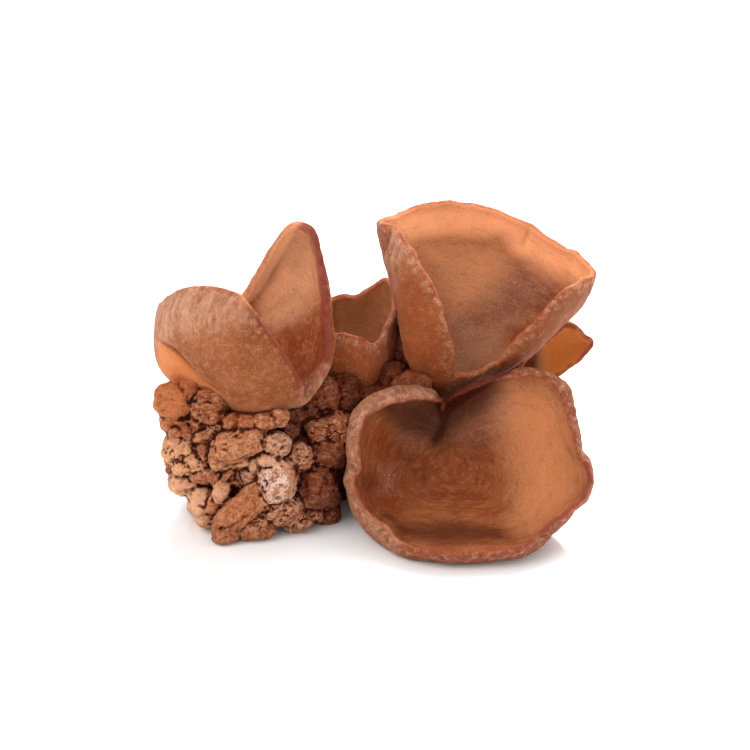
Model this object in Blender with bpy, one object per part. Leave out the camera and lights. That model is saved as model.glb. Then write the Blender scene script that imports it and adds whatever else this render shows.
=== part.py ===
"""A clump of wood ear mushroom: five thin, folded ears on one knotted base.

Metres, +Z up. The clump stands on the flat cut under its knot, at z = 0.
-Y is the side that the wide open front ear faces.

Every ear is one lofted wall. Its ribs run from the rim to the stalk: a rib is
a point of the rim, and a pull, the way in which the wall leaves the rim there.
"""

import math
import random

import bmesh
import bpy
import numpy as np
from mathutils import Matrix, Vector, noise

MM = 0.001

# Driving dimensions, in millimetres
RIM_THICKNESS = 1.9
DEEP_THICKNESS = 2.8
STALK_IN_KNOT = 2.5
SOCKET_GAP = 0.3
FULL_LENGTH = 30.0
FLOOR_CLEARANCE = 0.05

# Moves the clump so that the middle of its box is over the origin
PLACE = Vector((-0.8, 3.4, 0.0))

# How finely the knot is drawn
KNOT_VOXEL = 0.8
KNOT_TRIANGLES = 3300

# Skin colours: red, green, blue
EAR_COLOUR = (0.42, 0.17, 0.07, 1.0)
KNOT_COLOUR = (0.25, 0.11, 0.05, 1.0)


def clear_scene():
    for item in list(bpy.data.objects):
        bpy.data.objects.remove(item)


def skin(name, colour, roughness):
    material = bpy.data.materials.new(name)
    material.use_nodes = True
    shader = material.node_tree.nodes["Principled BSDF"]
    shader.inputs["Base Color"].default_value = colour
    shader.inputs["Roughness"].default_value = roughness
    shader.inputs["Metallic"].default_value = 0.0
    return material


def add_object(name, mesh, material):
    item = bpy.data.objects.new(name, mesh)
    bpy.context.scene.collection.objects.link(item)
    mesh.materials.append(material)
    mesh.shade_smooth()
    return item


# Curves and walls

def smooth_step(low, high, value):
    share = np.clip((value - low) / (high - low), 0.0, 1.0)
    return share * share * (3.0 - 2.0 * share)


def closed_curve(points, places):
    """Catmull-Rom curve through a closed loop of points, read at the places, in points."""
    count = len(points)
    whole = np.floor(places).astype(int)
    share = (places - whole)[:, None]
    before, start = points[(whole - 1) % count], points[whole % count]
    end, after = points[(whole + 1) % count], points[(whole + 2) % count]
    return 0.5 * (
        2.0 * start
        + (end - before) * share
        + (2.0 * before - 5.0 * start + 4.0 * end - after) * share**2
        + (3.0 * start - before - 3.0 * end + after) * share**3
    )


def even_places(points, count):
    """Places along a closed loop of points that are evenly far apart."""
    fine = np.linspace(0.0, len(points), 40 * len(points) + 1)
    line = closed_curve(points, fine)
    travelled = np.append(0.0, np.cumsum(np.linalg.norm(np.diff(line, axis=0), axis=1)))
    wanted = np.linspace(0.0, travelled[-1], count, endpoint=False)
    return np.interp(wanted, travelled, fine)


def across(axis):
    """Two unit vectors square to the axis and to each other."""
    first = axis.orthogonal().normalized()
    return np.array(first), np.array(axis.cross(first).normalized())


def stalk_outwards(rim, foot, axis, evenness):
    """Directions round the stalk: even ones for 1, those in which the rim is seen for 0."""
    first, second = across(Vector(axis))
    reach = rim - foot
    seen = np.unwrap(np.arctan2(reach @ second, reach @ first))
    sense = math.copysign(1.0, seen[-1] - seen[0])
    even = sense * np.arange(len(rim)) * 2.0 * math.pi / len(rim)
    start = np.angle(np.exp(1j * (seen - even)).mean())
    uneven = np.angle(np.exp(1j * (seen - even - start)))
    turn = (even + start + (1.0 - evenness) * uneven)[:, None]
    return np.cos(turn) * first + np.sin(turn) * second


def long_share(length):
    """1 for a rib long enough to rise and thicken in full, and less for a shorter one."""
    return np.minimum(length / FULL_LENGTH, 1.0)


def wall_rows(ear):
    """The middle of an ear's wall as rows of points, from the rim down to the stalk."""
    ribs = np.array([rib[0] for rib in ear["ribs"]], float)
    pulls = np.array([rib[1] for rib in ear["ribs"]], float)
    places = even_places(ribs, ear["around"])
    rim = closed_curve(ribs, places)
    pull = closed_curve(pulls, places)
    foot = np.array(ear["foot"], float)
    axis = np.array(Vector(ear["axis"]).normalized())
    outwards = stalk_outwards(rim, foot, axis, ear["evenness"])
    end = foot + ear["stalk_radius"] * outwards
    length = np.linalg.norm(rim - end, axis=1)[:, None]
    rise = ear["rise"] * long_share(length)
    turn_out = end + rise * axis + ear["flare"] * length * outwards
    rows = []
    for share in np.linspace(0.0, 1.0, ear["along"]):
        rest = 1.0 - share
        rows.append(
            rest**3 * rim
            + 3.0 * rest**2 * share * (rim + pull)
            + 3.0 * rest * share**2 * turn_out
            + share**3 * end
        )
    return np.array(rows)


def wall_normals(rows):
    """Unit normals of the rows, pointing out of the cup."""
    round_wise = np.roll(rows, -1, axis=1) - np.roll(rows, 1, axis=1)
    down_wise = np.gradient(rows, axis=0)
    normals = np.cross(round_wise, down_wise)
    normals /= np.maximum(np.linalg.norm(normals, axis=2, keepdims=True), 1e-9)
    from_middle = rows - rows[0].mean(axis=0)
    if (from_middle * normals).sum() < 0.0:
        normals = -normals
    return normals


def ear_rings(ear, grown=0.0):
    """Closed rings from the stalk's end, up the outside, over the rim and down the inside."""
    rows = wall_rows(ear)
    normals = wall_normals(rows)
    share = np.linspace(0.0, 1.0, len(rows))[:, None, None]
    full_length = long_share(np.linalg.norm(rows[0] - rows[-1], axis=1))[:, None]
    deepening = (DEEP_THICKNESS - RIM_THICKNESS) * full_length
    thickness = RIM_THICKNESS + deepening * smooth_step(0.1, 0.7, share)
    half = 0.5 * thickness + grown
    outside, inside = rows + half * normals, rows - half * normals
    outside[..., 2] = np.maximum(outside[..., 2], FLOOR_CLEARANCE)
    inside[..., 2] = np.maximum(inside[..., 2], FLOOR_CLEARANCE + 2.0 * half[..., 0])
    edge_out = rows[0] - rows[1]
    edge_out /= np.linalg.norm(edge_out, axis=1)[:, None]
    rim_edge = 0.5 * (outside[0] + inside[0]) + half[0] * edge_out
    rim_edge[:, 2] = np.maximum(rim_edge[:, 2], FLOOR_CLEARANCE)
    axis = np.array(Vector(ear["axis"]).normalized())
    plug = outside[-1] - (STALK_IN_KNOT + grown) * axis
    throat = int(ear["throat"] * len(rows))
    return [plug, *outside[::-1], rim_edge, *inside[:throat]]


def lofted(name, rings):
    """A closed mesh over the rings, with a fan at each end."""
    work = bmesh.new()
    loops = [[work.verts.new((Vector(point) + PLACE) * MM) for point in ring] for ring in rings]
    for lower, upper in zip(loops, loops[1:]):
        for here in range(len(lower)):
            there = (here + 1) % len(lower)
            work.faces.new((lower[here], lower[there], upper[there], upper[here]))
    for ring, loop in ((rings[0], loops[0]), (rings[-1], loops[-1])):
        middle = work.verts.new((Vector(ring.mean(axis=0)) + PLACE) * MM)
        for here in range(len(loop)):
            work.faces.new((loop[here], middle, loop[(here + 1) % len(loop)]))
    bmesh.ops.recalc_face_normals(work, faces=work.faces)
    mesh = bpy.data.meshes.new(name)
    work.to_mesh(mesh)
    work.free()
    return mesh


def make_ear(name, material, **ear):
    item = add_object(name, lofted(name, ear_rings(ear)), material)
    return item, ear


# The ears: each rib is (point of the rim), (pull of the wall there), in millimetres

def front_ear(material):
    """The wide bowl that lies open at the front, with a pleat where its rim meets the stalk."""
    ribs = [
        ((28, -43, 5), (0, 3, -10)),
        ((21, -43, 5), (0, 3, -10)),
        ((14, -42, 5), (-1, 3, -10)),
        ((9, -39, 5), (-6, 4, -11)),
        ((5, -36, 6), (-9, 5, -12)),
        ((2, -33, 8), (-11, 6, -11)),
        ((-1, -30, 9.5), (-11, 7, -9)),
        ((-4, -27, 11.5), (-9, 9, -6)),
        ((-5, -25, 14), (-9, 9, -5)),
        ((-6, -23, 17), (-9, 9, -3)),
        ((-4.5, -22, 20), (-10, 8, -2)),
        ((-5, -20, 25), (-9, 8, 0)),
        ((-4.5, -18, 28), (-9, 8, 1)),
        ((-3.5, -15, 31), (-8, 8, 4)),
        ((-1, -12, 33), (-7, 8, 6)),
        ((3, -10, 34), (-5, 7, 7)),
        ((7, -8, 34), (-3, 7, 8)),
        ((12, -6, 34), (-1, 7, 7)),
        ((16, -3, 32.5), (1, 7, 4)),
        ((18.4, 0, 30), (-1, 6, 0)),
        ((19.2, 3, 26.5), (0, 5, -4)),
        ((20.8, 1, 29.5), (1, 5, 0)),
        ((24.5, -2, 33.5), (0, 5, 1)),
        ((29.5, -3, 36.5), (-1, 6, 1.5)),
        ((35, -4, 39), (0, 6, 2)),
        ((40, -5, 40.5), (1, 6, 3)),
        ((45, -6, 41), (2, 6, 4)),
        ((49, -8, 39.5), (5, 6, 4)),
        ((51.5, -10, 37.5), (8, 7, 4)),
        ((52.5, -12, 35.5), (9, 7, 3)),
        ((53.5, -15, 32), (9, 8, 1)),
        ((55, -18, 28), (7, 8, 0)),
        ((55.5, -20, 23.5), (6, 8, 0)),
        ((58.5, -21, 20), (5, 9, -1)),
        ((58.5, -23, 17), (5, 9, -3)),
        ((57, -26, 14.5), (7, 8, -5)),
        ((54, -29, 13), (7, 7, -8)),
        ((50.5, -32, 11), (7, 6, -9)),
        ((47, -35, 9.5), (6, 5, -11)),
        ((43, -38, 7.5), (5, 4, -12)),
        ((38.5, -41, 6), (3, 3, -11)),
        ((33.5, -42, 5), (1, 3, -10)),
    ]
    return make_ear(
        "front_ear", material, ribs=ribs, around=44, along=9, throat=0.7,
        foot=(21, 11, 15), axis=(0, -1, -0.1), stalk_radius=4.0, rise=5, flare=0.3,
        evenness=1,
    )


def tall_ear(material):
    """The large upright scoop: a high back wall, and a left side folded to the front."""
    ribs = [
        ((21.6, 3, 45), (-12, 2, -6)),
        ((21.4, 4, 41), (-7, 2, -4)),
        ((22.5, 5, 37), (-3, 2, -3)),
        ((25, 5, 36), (-2, 2, -4)),
        ((28, 4, 37), (-1, 2, -4)),
        ((31.5, 3, 39), (0, 3, -5)),
        ((34.5, 2, 41.5), (0, 3, -6)),
        ((36, 1, 44.5), (1, 2, -7)),
        ((39, -1.5, 49.5), (3, 2, -11)),
        ((42.5, -3, 54), (4, 1, -14)),
        ((47.5, -3, 59.5), (5, 1, -16)),
        ((52, -1, 63.5), (4, 2, -17)),
        ((57.5, 4, 65), (2, 4, -18)),
        ((60.5, 11, 65), (0, 7, -21)),
        ((57, 19, 67), (1, 9, -22)),
        ((52.5, 22, 68.5), (2, 10, -23)),
        ((48.5, 25, 70.5), (2, 11, -21)),
        ((44, 27, 72.5), (2, 11, -22)),
        ((35.5, 29, 76), (1, 12, -23)),
        ((28.5, 29.5, 78), (0, 12, -23)),
        ((20, 28, 79.5), (-1, 12, -23)),
        ((15.5, 26, 79.5), (-2, 11, -23)),
        ((10, 23, 79), (0, 11, -22)),
        ((5.5, 19, 78.5), (3, 10, -21)),
        ((3, 15, 79), (4, 9, -20)),
        ((1.2, 10, 80), (3, 6, -20)),
        ((2.5, 5, 81), (0, 5, -15)),
        ((5.5, 1, 81), (-3, 4, -12)),
        ((8, -3, 79), (-6, 4, -12)),
        ((11.5, -6, 74.5), (-11, 3, -10)),
        ((15, -8, 69), (-15, 3, -8)),
        ((17.5, -7, 62), (-18, 2, -7)),
        ((19.5, -3, 53.5), (-17, 1, -8)),
    ]
    return make_ear(
        "tall_ear", material, ribs=ribs, around=44, along=9, throat=0.8,
        foot=(19, 18, 26), axis=(0.1, -0.2, 1), stalk_radius=4.5, rise=8, flare=0.05,
        evenness=1,
    )


def left_ear(material):
    """The folded cup at the left: a low near flap and a far flap that rises to a point."""
    ribs = [
        ((-20, -11, 36), (-3, 0, -3)),
        ((-21, -13, 41.5), (-5, -2, -5)),
        ((-24, -16, 49), (-6, -4, -6)),
        ((-27.5, -19, 56.5), (-7, -6, -8)),
        ((-31.5, -21, 63.5), (-8, -7, -9)),
        ((-34, -22, 68), (-9, -7, -9)),
        ((-36, -21.5, 70.5), (-9, -7, -9)),
        ((-40, -20, 71.5), (-10, -7, -9)),
        ((-44, -18, 71), (-11, -6, -9)),
        ((-48, -15, 70), (-12, -5, -10)),
        ((-52, -11, 67.5), (-12, -3, -20)),
        ((-56, -6, 63.5), (-12, 1, -31)),
        ((-58.5, 1, 58.5), (-9, 3, -32)),
        ((-56, 8, 55), (-6, 8, -25)),
        ((-48, 11, 53.5), (-4, 9, -16)),
        ((-39, 12, 56), (-1, 9, -14)),
        ((-36, 13, 58), (-1, 9, -15)),
        ((-33.3, 13, 62.5), (0, 9, -16)),
        ((-30.5, 12.5, 68), (0, 9, -17)),
        ((-27.3, 12, 73.5), (0, 9, -18)),
        ((-24.5, 11, 77.5), (0, 9, -18)),
        ((-21, 10.5, 79), (1, 8, -18)),
        ((-18, 9.5, 78), (3, 7, -17)),
        ((-16.5, 8, 74), (4, 6, -16)),
        ((-15.2, 6, 70), (4, 5, -15)),
        ((-14.2, 3, 64.5), (4, 4, -13)),
        ((-14, 1, 59), (4, 4, -11)),
        ((-13.4, -1, 54), (4, 3, -10)),
        ((-13, -3, 50), (3, 3, -9)),
        ((-13.5, -5, 46), (2, 2, -8)),
        ((-15, -7, 42.5), (0, 1, -6)),
        ((-17.5, -9, 38.5), (-1, 0, -4)),
    ]
    return make_ear(
        "left_ear", material, ribs=ribs, around=40, along=9, throat=0.6,
        foot=(-32.5, -11, 32), axis=(0, 0, 1), stalk_radius=6.5, rise=9, flare=0.06,
        evenness=0,
    )


def middle_ear(material):
    """The small cup behind, between the left and the tall ear."""
    ribs = [
        ((-13, 6, 48.5), (-2, -4, -7)),
        ((-8.5, 5, 48.5), (-1, -4, -8)),
        ((-4, 5, 47), (0, -4, -8)),
        ((0, 6, 45), (1, -3, -8)),
        ((3, 8, 49), (2, -1, -9)),
        ((4, 12, 52.5), (1, 2, -9)),
        ((4, 18, 54), (1, 4, -10)),
        ((3, 24, 55), (1, 5, -11)),
        ((1.5, 28, 55), (0, 6, -11)),
        ((-2, 30, 52), (0, 6, -11)),
        ((-6, 30, 50), (0, 6, -11)),
        ((-9.5, 29, 50.5), (-1, 6, -11)),
        ((-13, 28, 49.5), (-3, 6, -10)),
        ((-15.5, 23, 50), (-5, 3, -9)),
        ((-16, 15, 49.5), (-5, -1, -8)),
    ]
    return make_ear(
        "middle_ear", material, ribs=ribs, around=28, along=8, throat=0.8,
        foot=(-6.5, 16, 26), axis=(0, 0, 1), stalk_radius=4.0, rise=5, flare=0.3,
        evenness=1,
    )


def rear_ear(material):
    """The small ear that shows behind the tall one, at the right."""
    ribs = [
        ((42, 22, 30), (-6, 3, -3)),
        ((45.5, 22, 35.5), (-6, 6, -1)),
        ((50, 21.5, 40), (-4, 8, 0)),
        ((54, 21, 43.5), (-3, 9, 0)),
        ((56, 20.5, 45), (-2, 9, 0)),
        ((58, 20, 44), (-1, 9, -1)),
        ((60, 20, 41.5), (0, 9, -1)),
        ((62, 20, 40.5), (0, 9, -2)),
        ((62, 20.5, 38.5), (0, 9, -2)),
        ((59.5, 20.5, 35.5), (-1, 9, -3)),
        ((57, 20, 33), (-2, 9, -4)),
        ((52.5, 20, 29.5), (-3, 8, -4)),
        ((46.5, 20.5, 26.5), (-5, 5, -4)),
    ]
    return make_ear(
        "rear_ear", material, ribs=ribs, around=24, along=9, throat=0.6,
        foot=(29, 26, 18), axis=(0.6, -0.5, 0.6), stalk_radius=3.5, rise=5, flare=0.2,
        evenness=1,
    )


# The knot

# Lumps that show from the front: middle, half sizes, tilt about the Y axis in degrees
FRONT_LUMPS = [
    # Smooth buds and their wrinkled neighbour, at the top left
    ((-55.5, -12, 35), (5, 5, 7), 0),
    ((-51, -11, 36), (3.7, 4, 5.3), 0),
    ((-56, -10, 29), (2.5, 3, 4), 0),
    ((-45.5, -13, 33), (5, 5, 6), 0),
    ((-49.5, -13, 28.5), (2.5, 2.5, 2.2), 0),
    ((-44, -15, 29), (2.6, 2.5, 2.2), 0),
    # Pale cluster at the left edge
    ((-53.5, -14, 22), (4.6, 5, 5.2), 0),
    ((-49, -17, 19.5), (2.7, 2.5, 2.8), 0),
    ((-52.5, -15, 18), (2.5, 2.5, 2.3), 0),
    ((-55.5, -12, 18), (2, 2.5, 3), 0),
    # Broad oval lump under the left ear
    ((-37, -19, 27), (7, 5.5, 5.2), 0),
    ((-41.5, -20, 22.5), (4, 4, 4), 0),
    ((-46.5, -16, 23), (2, 2.5, 2.5), 0),
    ((-33, -10, 28), (9, 7, 4), 0),
    # Middle of the front
    ((-27, -17, 24.5), (3.2, 3, 3.7), 0),
    ((-21.5, -15.5, 20.5), (2.9, 3, 3.4), 0),
    ((-18, -13.5, 17.5), (2, 2.5, 2.2), 0),
    ((-36.5, -20, 16.5), (4.6, 4, 5), 0),
    ((-33, -20, 20.5), (3, 3, 2), 0),
    ((-26, -20.5, 15.5), (5, 4.5, 6), 0),
    ((-28.5, -21, 20.5), (3.5, 3, 2.3), 0),
    ((-27.5, -21.5, 9.5), (3.6, 3, 2.6), 0),
    # Long lump that leans over at the bottom left, and its small neighbours
    ((-37, -24.5, 8), (7.8, 3.9, 4), -42),
    ((-41.5, -25.5, 3.5), (3.3, 3.5, 3.5), 0),
    ((-45.5, -16, 14), (3.2, 3, 2.7), 0),
    ((-42, -20, 11), (3, 3, 2.7), 0),
    ((-39.5, -20, 13.5), (2, 2.5, 2.5), 0),
    # Smooth lumps at the lower left
    ((-54.5, -5, 7), (3.2, 3.5, 2.7), 0),
    ((-54, -9, 13.5), (3, 3, 3), 0),
    ((-49, -10, 6), (4, 4, 4), 0),
    ((-46.5, -16.5, 4), (2.8, 3, 3.8), 0),
    ((-44, -20, 8), (1.8, 2, 2.2), 0),
    # Foot of the front
    ((-33, -23.5, 3.7), (4, 3.8, 4), 0),
    ((-30, -22, 6.5), (2, 2, 2.2), 0),
    ((-25, -20, 4), (4.2, 4, 4), 0),
    ((-21, -18.5, 3), (3, 3, 3), 0),
    # Right end of the front, beside the front ear
    ((-18, -16.5, 5), (3.4, 3.5, 3.7), 0),
    ((-16.5, -14, 11), (3.6, 3.5, 4), 0),
    ((-13, -11, 11.5), (3.6, 4, 5.5), 0),
    ((-15, -13.5, 3.5), (3.6, 4, 3.8), 0),
    ((-18, -13, 16), (2.6, 3, 3), 0),
    # Large cracked lumps farther back, between the ears
    ((-14, -4.5, 18.5), (5.5, 5, 6), 0),
    ((-9, -2, 23.5), (4.5, 4, 4.5), 0),
    ((-16.5, -5, 23.5), (3.3, 3, 2.7), 0),
    ((-23.5, -9, 25), (2.6, 3, 2.7), 0),
    ((-13, 6, 28), (6, 5, 4.5), 0),
    ((-6.5, 5.5, 27), (5.5, 5, 3.6), 0),
    ((-24, -11, 18), (8, 7, 9), 0),
    ((-50, -8, 27), (6, 6, 9), 0),
    ((-44, -13, 25), (5, 4, 6), 0),
    ((-30, -15, 23), (5, 4, 5), 0),
    ((-47, -10, 14), (6, 6, 8), 0),
    ((-32, -14, 10), (10, 8, 9), 0),
    ((-19, -9, 8), (7, 6, 8), 0),
    ((-43, -18, 6), (4, 4, 5), 0),
    ((-37, -23, 3), (3, 3, 3), 0),
]

# The body under the lumps: middle and half sizes
KNOT_CORE = [
    ((-36, -4, 14), (17, 14, 17)),
    ((-14, 8, 11), (17, 13, 15)),
    ((10, 20, 10), (19, 13, 15)),
]

BACK_LUMPS = 46
BACK_LUMPS_BEHIND = 2.0
BACK_LUMP_RADIUS = (4.0, 6.5)
LUMP_ROUGHNESS = 0.16


def add_lump(work, middle, half_sizes, tilt=0.0, seed=0):
    """One uneven, rounded lump."""
    made = bmesh.ops.create_icosphere(work, subdivisions=3, radius=1.0)
    turn = Matrix.Rotation(math.radians(tilt), 3, "Y")
    for vertex in made["verts"]:
        way = vertex.co.normalized()
        swell = 1.0 + LUMP_ROUGHNESS * noise.noise(way * 1.4 + Vector((seed, 0, 0)))
        sized = Vector([way[k] * half_sizes[k] * swell for k in range(3)])
        vertex.co = (turn @ sized + Vector(middle) + PLACE) * MM


def back_lumps():
    """Lumps over the sides of the core that the front view doesn't show."""
    chance = random.Random(5)
    lumps = []
    while len(lumps) < BACK_LUMPS:
        middle, half_sizes = KNOT_CORE[chance.randrange(len(KNOT_CORE))]
        turn = chance.uniform(0.0, math.pi)
        lift = chance.uniform(-0.9, 1.0)
        level = math.sqrt(1.0 - lift * lift)
        way = (math.cos(turn) * level, math.sin(turn) * level, lift)
        place = [middle[k] + 0.9 * half_sizes[k] * way[k] for k in range(3)]
        if place[2] < 2.0 or place[1] < BACK_LUMPS_BEHIND:
            continue
        radius = chance.uniform(*BACK_LUMP_RADIUS)
        lumps.append((place, [radius * chance.uniform(0.8, 1.15) for _ in range(3)]))
    return lumps


def knot(material, ears):
    """All lumps fused to one body, cut flat at the bottom, with a socket for each stalk."""
    work = bmesh.new()
    for number, (middle, half_sizes) in enumerate(KNOT_CORE):
        add_lump(work, middle, half_sizes, seed=number)
    for number, (middle, half_sizes, tilt) in enumerate(FRONT_LUMPS):
        add_lump(work, middle, half_sizes, tilt, seed=10 + number)
    for number, (middle, half_sizes) in enumerate(back_lumps()):
        add_lump(work, middle, half_sizes, seed=50 + number)
    mesh = bpy.data.meshes.new("knot")
    work.to_mesh(mesh)
    work.free()
    item = add_object("knot", mesh, material)
    fuse = item.modifiers.new("fuse", "REMESH")
    fuse.mode = "VOXEL"
    fuse.voxel_size = KNOT_VOXEL * MM
    fewer = item.modifiers.new("fewer", "DECIMATE")
    fewer.ratio = KNOT_TRIANGLES / fused_triangles(item)
    cut_with(item, ground_block())
    for ear_item, ear in ears:
        cut_with(item, socket_cutter(ear_item, ear))
    return item


def fused_triangles(item):
    graph = bpy.context.evaluated_depsgraph_get()
    mesh = item.evaluated_get(graph).to_mesh()
    mesh.calc_loop_triangles()
    return len(mesh.loop_triangles)


def helper(name, mesh):
    """A cutter, which isn't part of the object."""
    item = bpy.data.objects.new(name, mesh)
    bpy.context.scene.collection.objects.link(item)
    item.hide_render = True
    item.display_type = "WIRE"
    return item


def ground_block():
    work = bmesh.new()
    bmesh.ops.create_cube(work, size=200 * MM)
    bmesh.ops.translate(work, verts=work.verts, vec=(0, 0, -100 * MM))
    mesh = bpy.data.meshes.new("ground")
    work.to_mesh(mesh)
    work.free()
    return helper("ground", mesh)


def socket_cutter(ear_item, ear):
    """The ear itself, grown by the gap, so that the knot fits round it."""
    name = "socket_of_" + ear_item.name
    return helper(name, lofted(name, ear_rings(ear, SOCKET_GAP)))


def cut_with(item, cutter):
    cut = item.modifiers.new(cutter.name, "BOOLEAN")
    cut.operation = "DIFFERENCE"
    cut.object = cutter


def main():
    clear_scene()
    ear_skin = skin("ear_skin", EAR_COLOUR, 0.55)
    knot_skin = skin("knot_skin", KNOT_COLOUR, 0.75)
    ears = [
        front_ear(ear_skin),
        tall_ear(ear_skin),
        left_ear(ear_skin),
        middle_ear(ear_skin),
        rear_ear(ear_skin),
    ]
    knot(knot_skin, ears)


main()
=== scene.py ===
import math
import random
from collections import namedtuple

import bpy
import numpy as np
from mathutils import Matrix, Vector, noise
from mathutils.bvhtree import BVHTree


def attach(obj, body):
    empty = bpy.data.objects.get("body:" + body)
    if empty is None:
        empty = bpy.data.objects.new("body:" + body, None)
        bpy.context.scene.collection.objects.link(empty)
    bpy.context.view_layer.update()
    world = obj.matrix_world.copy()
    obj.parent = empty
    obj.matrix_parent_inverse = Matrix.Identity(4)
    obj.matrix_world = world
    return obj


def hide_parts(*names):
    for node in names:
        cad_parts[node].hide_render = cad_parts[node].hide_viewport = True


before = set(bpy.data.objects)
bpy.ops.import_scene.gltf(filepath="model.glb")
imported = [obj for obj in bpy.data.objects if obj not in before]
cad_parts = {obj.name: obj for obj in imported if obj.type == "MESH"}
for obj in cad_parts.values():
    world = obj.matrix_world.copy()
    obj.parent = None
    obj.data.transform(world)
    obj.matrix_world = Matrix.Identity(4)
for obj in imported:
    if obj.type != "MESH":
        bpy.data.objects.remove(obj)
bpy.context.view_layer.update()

# Lengths in this script are in millimetres. MM turns them into Blender's metres
MM = 0.001

# Farther than anything in the scene, and a number too small to matter
FAR = 1e9
TINY = 1e-9

# How far each seed moves a pattern, and how thin its ridges are
NOISE_SHIFT = (17.3, 5.1, 9.7)
CELL_SHIFT = (7.7, 3.1, 1.9)
RIDGE_SHARPNESS = 2.2

# Moves the clump so that the middle of its box is over the origin
PLACE = np.array([-0.8, 3.4, 0.0])

# The camera of the photograph
PHOTO_SIDE = 750
PIXEL_STEP = 2.0
LENS = 100.0
SENSOR = 36.0
CAMERA_HEIGHT_ANGLE = math.radians(24.0)
CAMERA_DISTANCE = 583.33
CAMERA_TARGET = np.array([-0.8, 3.4, 38.5])

FOCAL_PIXELS = LENS / SENSOR * PHOTO_SIDE
FORWARD = np.array([0.0, math.cos(CAMERA_HEIGHT_ANGLE), -math.sin(CAMERA_HEIGHT_ANGLE)])
UPWARD = np.array([0.0, math.sin(CAMERA_HEIGHT_ANGLE), math.cos(CAMERA_HEIGHT_ANGLE)])
SIDEWAYS = np.array([1.0, 0.0, 0.0])
CAMERA_PLACE = CAMERA_TARGET - CAMERA_DISTANCE * FORWARD

# Walls of the ears: a rib as long as FULL_LENGTH has its whole rise and its deep thickness
FULL_LENGTH = 30.0
DEEP_THICKNESS = 2.8
THICKENING = (0.1, 0.7)
THINNING = 0.62
THINNING_SOFTNESS = 7.0
STALK_IN_KNOT = 2.5
FLOOR_CLEARANCE = 0.05
CURVE_STEPS = 40
NORMAL_ROUNDS = 12
LAST_NORMAL_ROUNDS = 8

# Walls are evened out between these shares of the way down, inside the cup over its own ones
LEAST_EVENING = 0.01
WALL_EVENING = (0.05, 0.45)
CUP_EVENING = (0.15, 0.6)
WIDEST_EVENING = 0.06

# The rim is rounded by a few rings, and the cup closed by a floor that blends with the wall
RIM_STEPS = 7
RIM_SQUARENESS = 0.75
RIM_CREST = 0.75
FLOOR_RINGS = 16
FLOOR_BEND = 0.35
FLOOR_DEPTH = 0.3
FLOOR_BLEND = (-14, 2)

# Relief of the walls: layers of noise, each (height, size, what it adds to the ear's seed)
RAGGED_RIM = ((0.45, 5.0, 0), (0.22, 2.0, 1))
WAVES = ((0.55, 11.0, 2), (0.3, 5.0, 3))
RIM_WAVES = ((0.5, 4.5, 4),)
STREAKS = ((1.0, 2.6, 5),)
RIM_UNEVENNESS = ((0.18, 6.0, 6),)
GRAIN = ((0.09, 1.3, 7), (0.05, 0.7, 8))
KNOBS = ((1.0, 2.6, 10), (0.6, 1.5, 11))
BAND_WOBBLE = ((0.45, 2.2, 12),)
VEIN_SPACING = 6.0
VEIN_SEED = 9
INSIDE_GRAIN = 0.3

# Noise drawn out down the wall, and how far from the rim each kind of relief reaches
DOWN_STRETCH = (1.0, 1.0, 0.3)
STREAK_STRETCH = (1.0, 1.0, 0.16)
RIM_REACH = 7.0
KNOB_REACH = 7.0
STREAK_START = (1.0, 6.0)
STREAK_REACH = 16.0

# What the ears' materials read
BAND_SOFTNESS = 0.35
SIDE_BLEND = 0.8
EAR_HOLLOW_ROUNDS = 6
EAR_HOLLOW_GAIN = 9.0
EAR_HOLLOW_START = 0.15
# The masks in order: painted light through the wall; painted shade; a deeper red brown,
# and painted shade in recesses, in the pleat and on undersides
# partly the flesh's own tone and partly painted shade; pale flecks with painted highlights;
MASKS = ("glow", "dusk", "warm", "pale_and_highlight", "deep_shade")


# Small helpers

def deselect_all():
    for item in bpy.context.selected_objects:
        item.select_set(False)


def smooth_step(low, high, value):
    share = np.clip((value - low) / (high - low), 0.0, 1.0)
    return share * share * (3.0 - 2.0 * share)


def unit(vectors):
    return vectors / np.maximum(np.linalg.norm(vectors, axis=-1, keepdims=True), TINY)


def noise_at(points, size, seed):
    """Smooth noise from -1 to 1. Its bumps are about `size` wide."""
    shift = Vector([step * seed for step in NOISE_SHIFT])
    flat = points.reshape(-1, 3) / size
    found = [noise.noise(Vector(point) + shift) for point in flat.tolist()]
    return np.array(found).reshape(points.shape[:-1])


def relief(points, layers, seed=0):
    """Layers of noise, each (height, size, seed), added up."""
    return sum(height * noise_at(points, size, seed + own) for height, size, own in layers)


def ridges_at(points, size, seed):
    """Noise from 0 to 1 that peaks along thin, winding lines."""
    return np.clip(1.0 - RIDGE_SHARPNESS * np.abs(noise_at(points, size, seed)), 0.0, 1.0)


def cells_at(points, size, seed):
    """Distance to the nearest and the second nearest of scattered points, in cells."""
    shift = Vector([step * seed for step in CELL_SHIFT])
    flat = points.reshape(-1, 3) / size
    near, second = [], []
    for point in flat.tolist():
        distances, _ = noise.voronoi(Vector(point) + shift)
        near.append(distances[0])
        second.append(distances[1])
    shape = points.shape[:-1]
    return np.array(near).reshape(shape), np.array(second).reshape(shape)


def colour(red, green, blue):
    """A colour given as the eye reads it, from 0 to 255, turned to light."""
    light = [((value / 255.0 + 0.055) / 1.055) ** 2.4 for value in (red, green, blue)]
    return (*light, 1.0)


# Meshes

def vertex_places(mesh):
    places = np.empty(3 * len(mesh.vertices), np.float32)
    mesh.vertices.foreach_get("co", places)
    return places.reshape(-1, 3).astype(float)


def set_vertex_places(mesh, places):
    mesh.vertices.foreach_set("co", places.astype(np.float32).ravel())
    mesh.update()


def vertex_normals(mesh):
    normals = np.empty(3 * len(mesh.vertices), np.float32)
    mesh.vertex_normals.foreach_get("vector", normals)
    return normals.reshape(-1, 3).astype(float)


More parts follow.
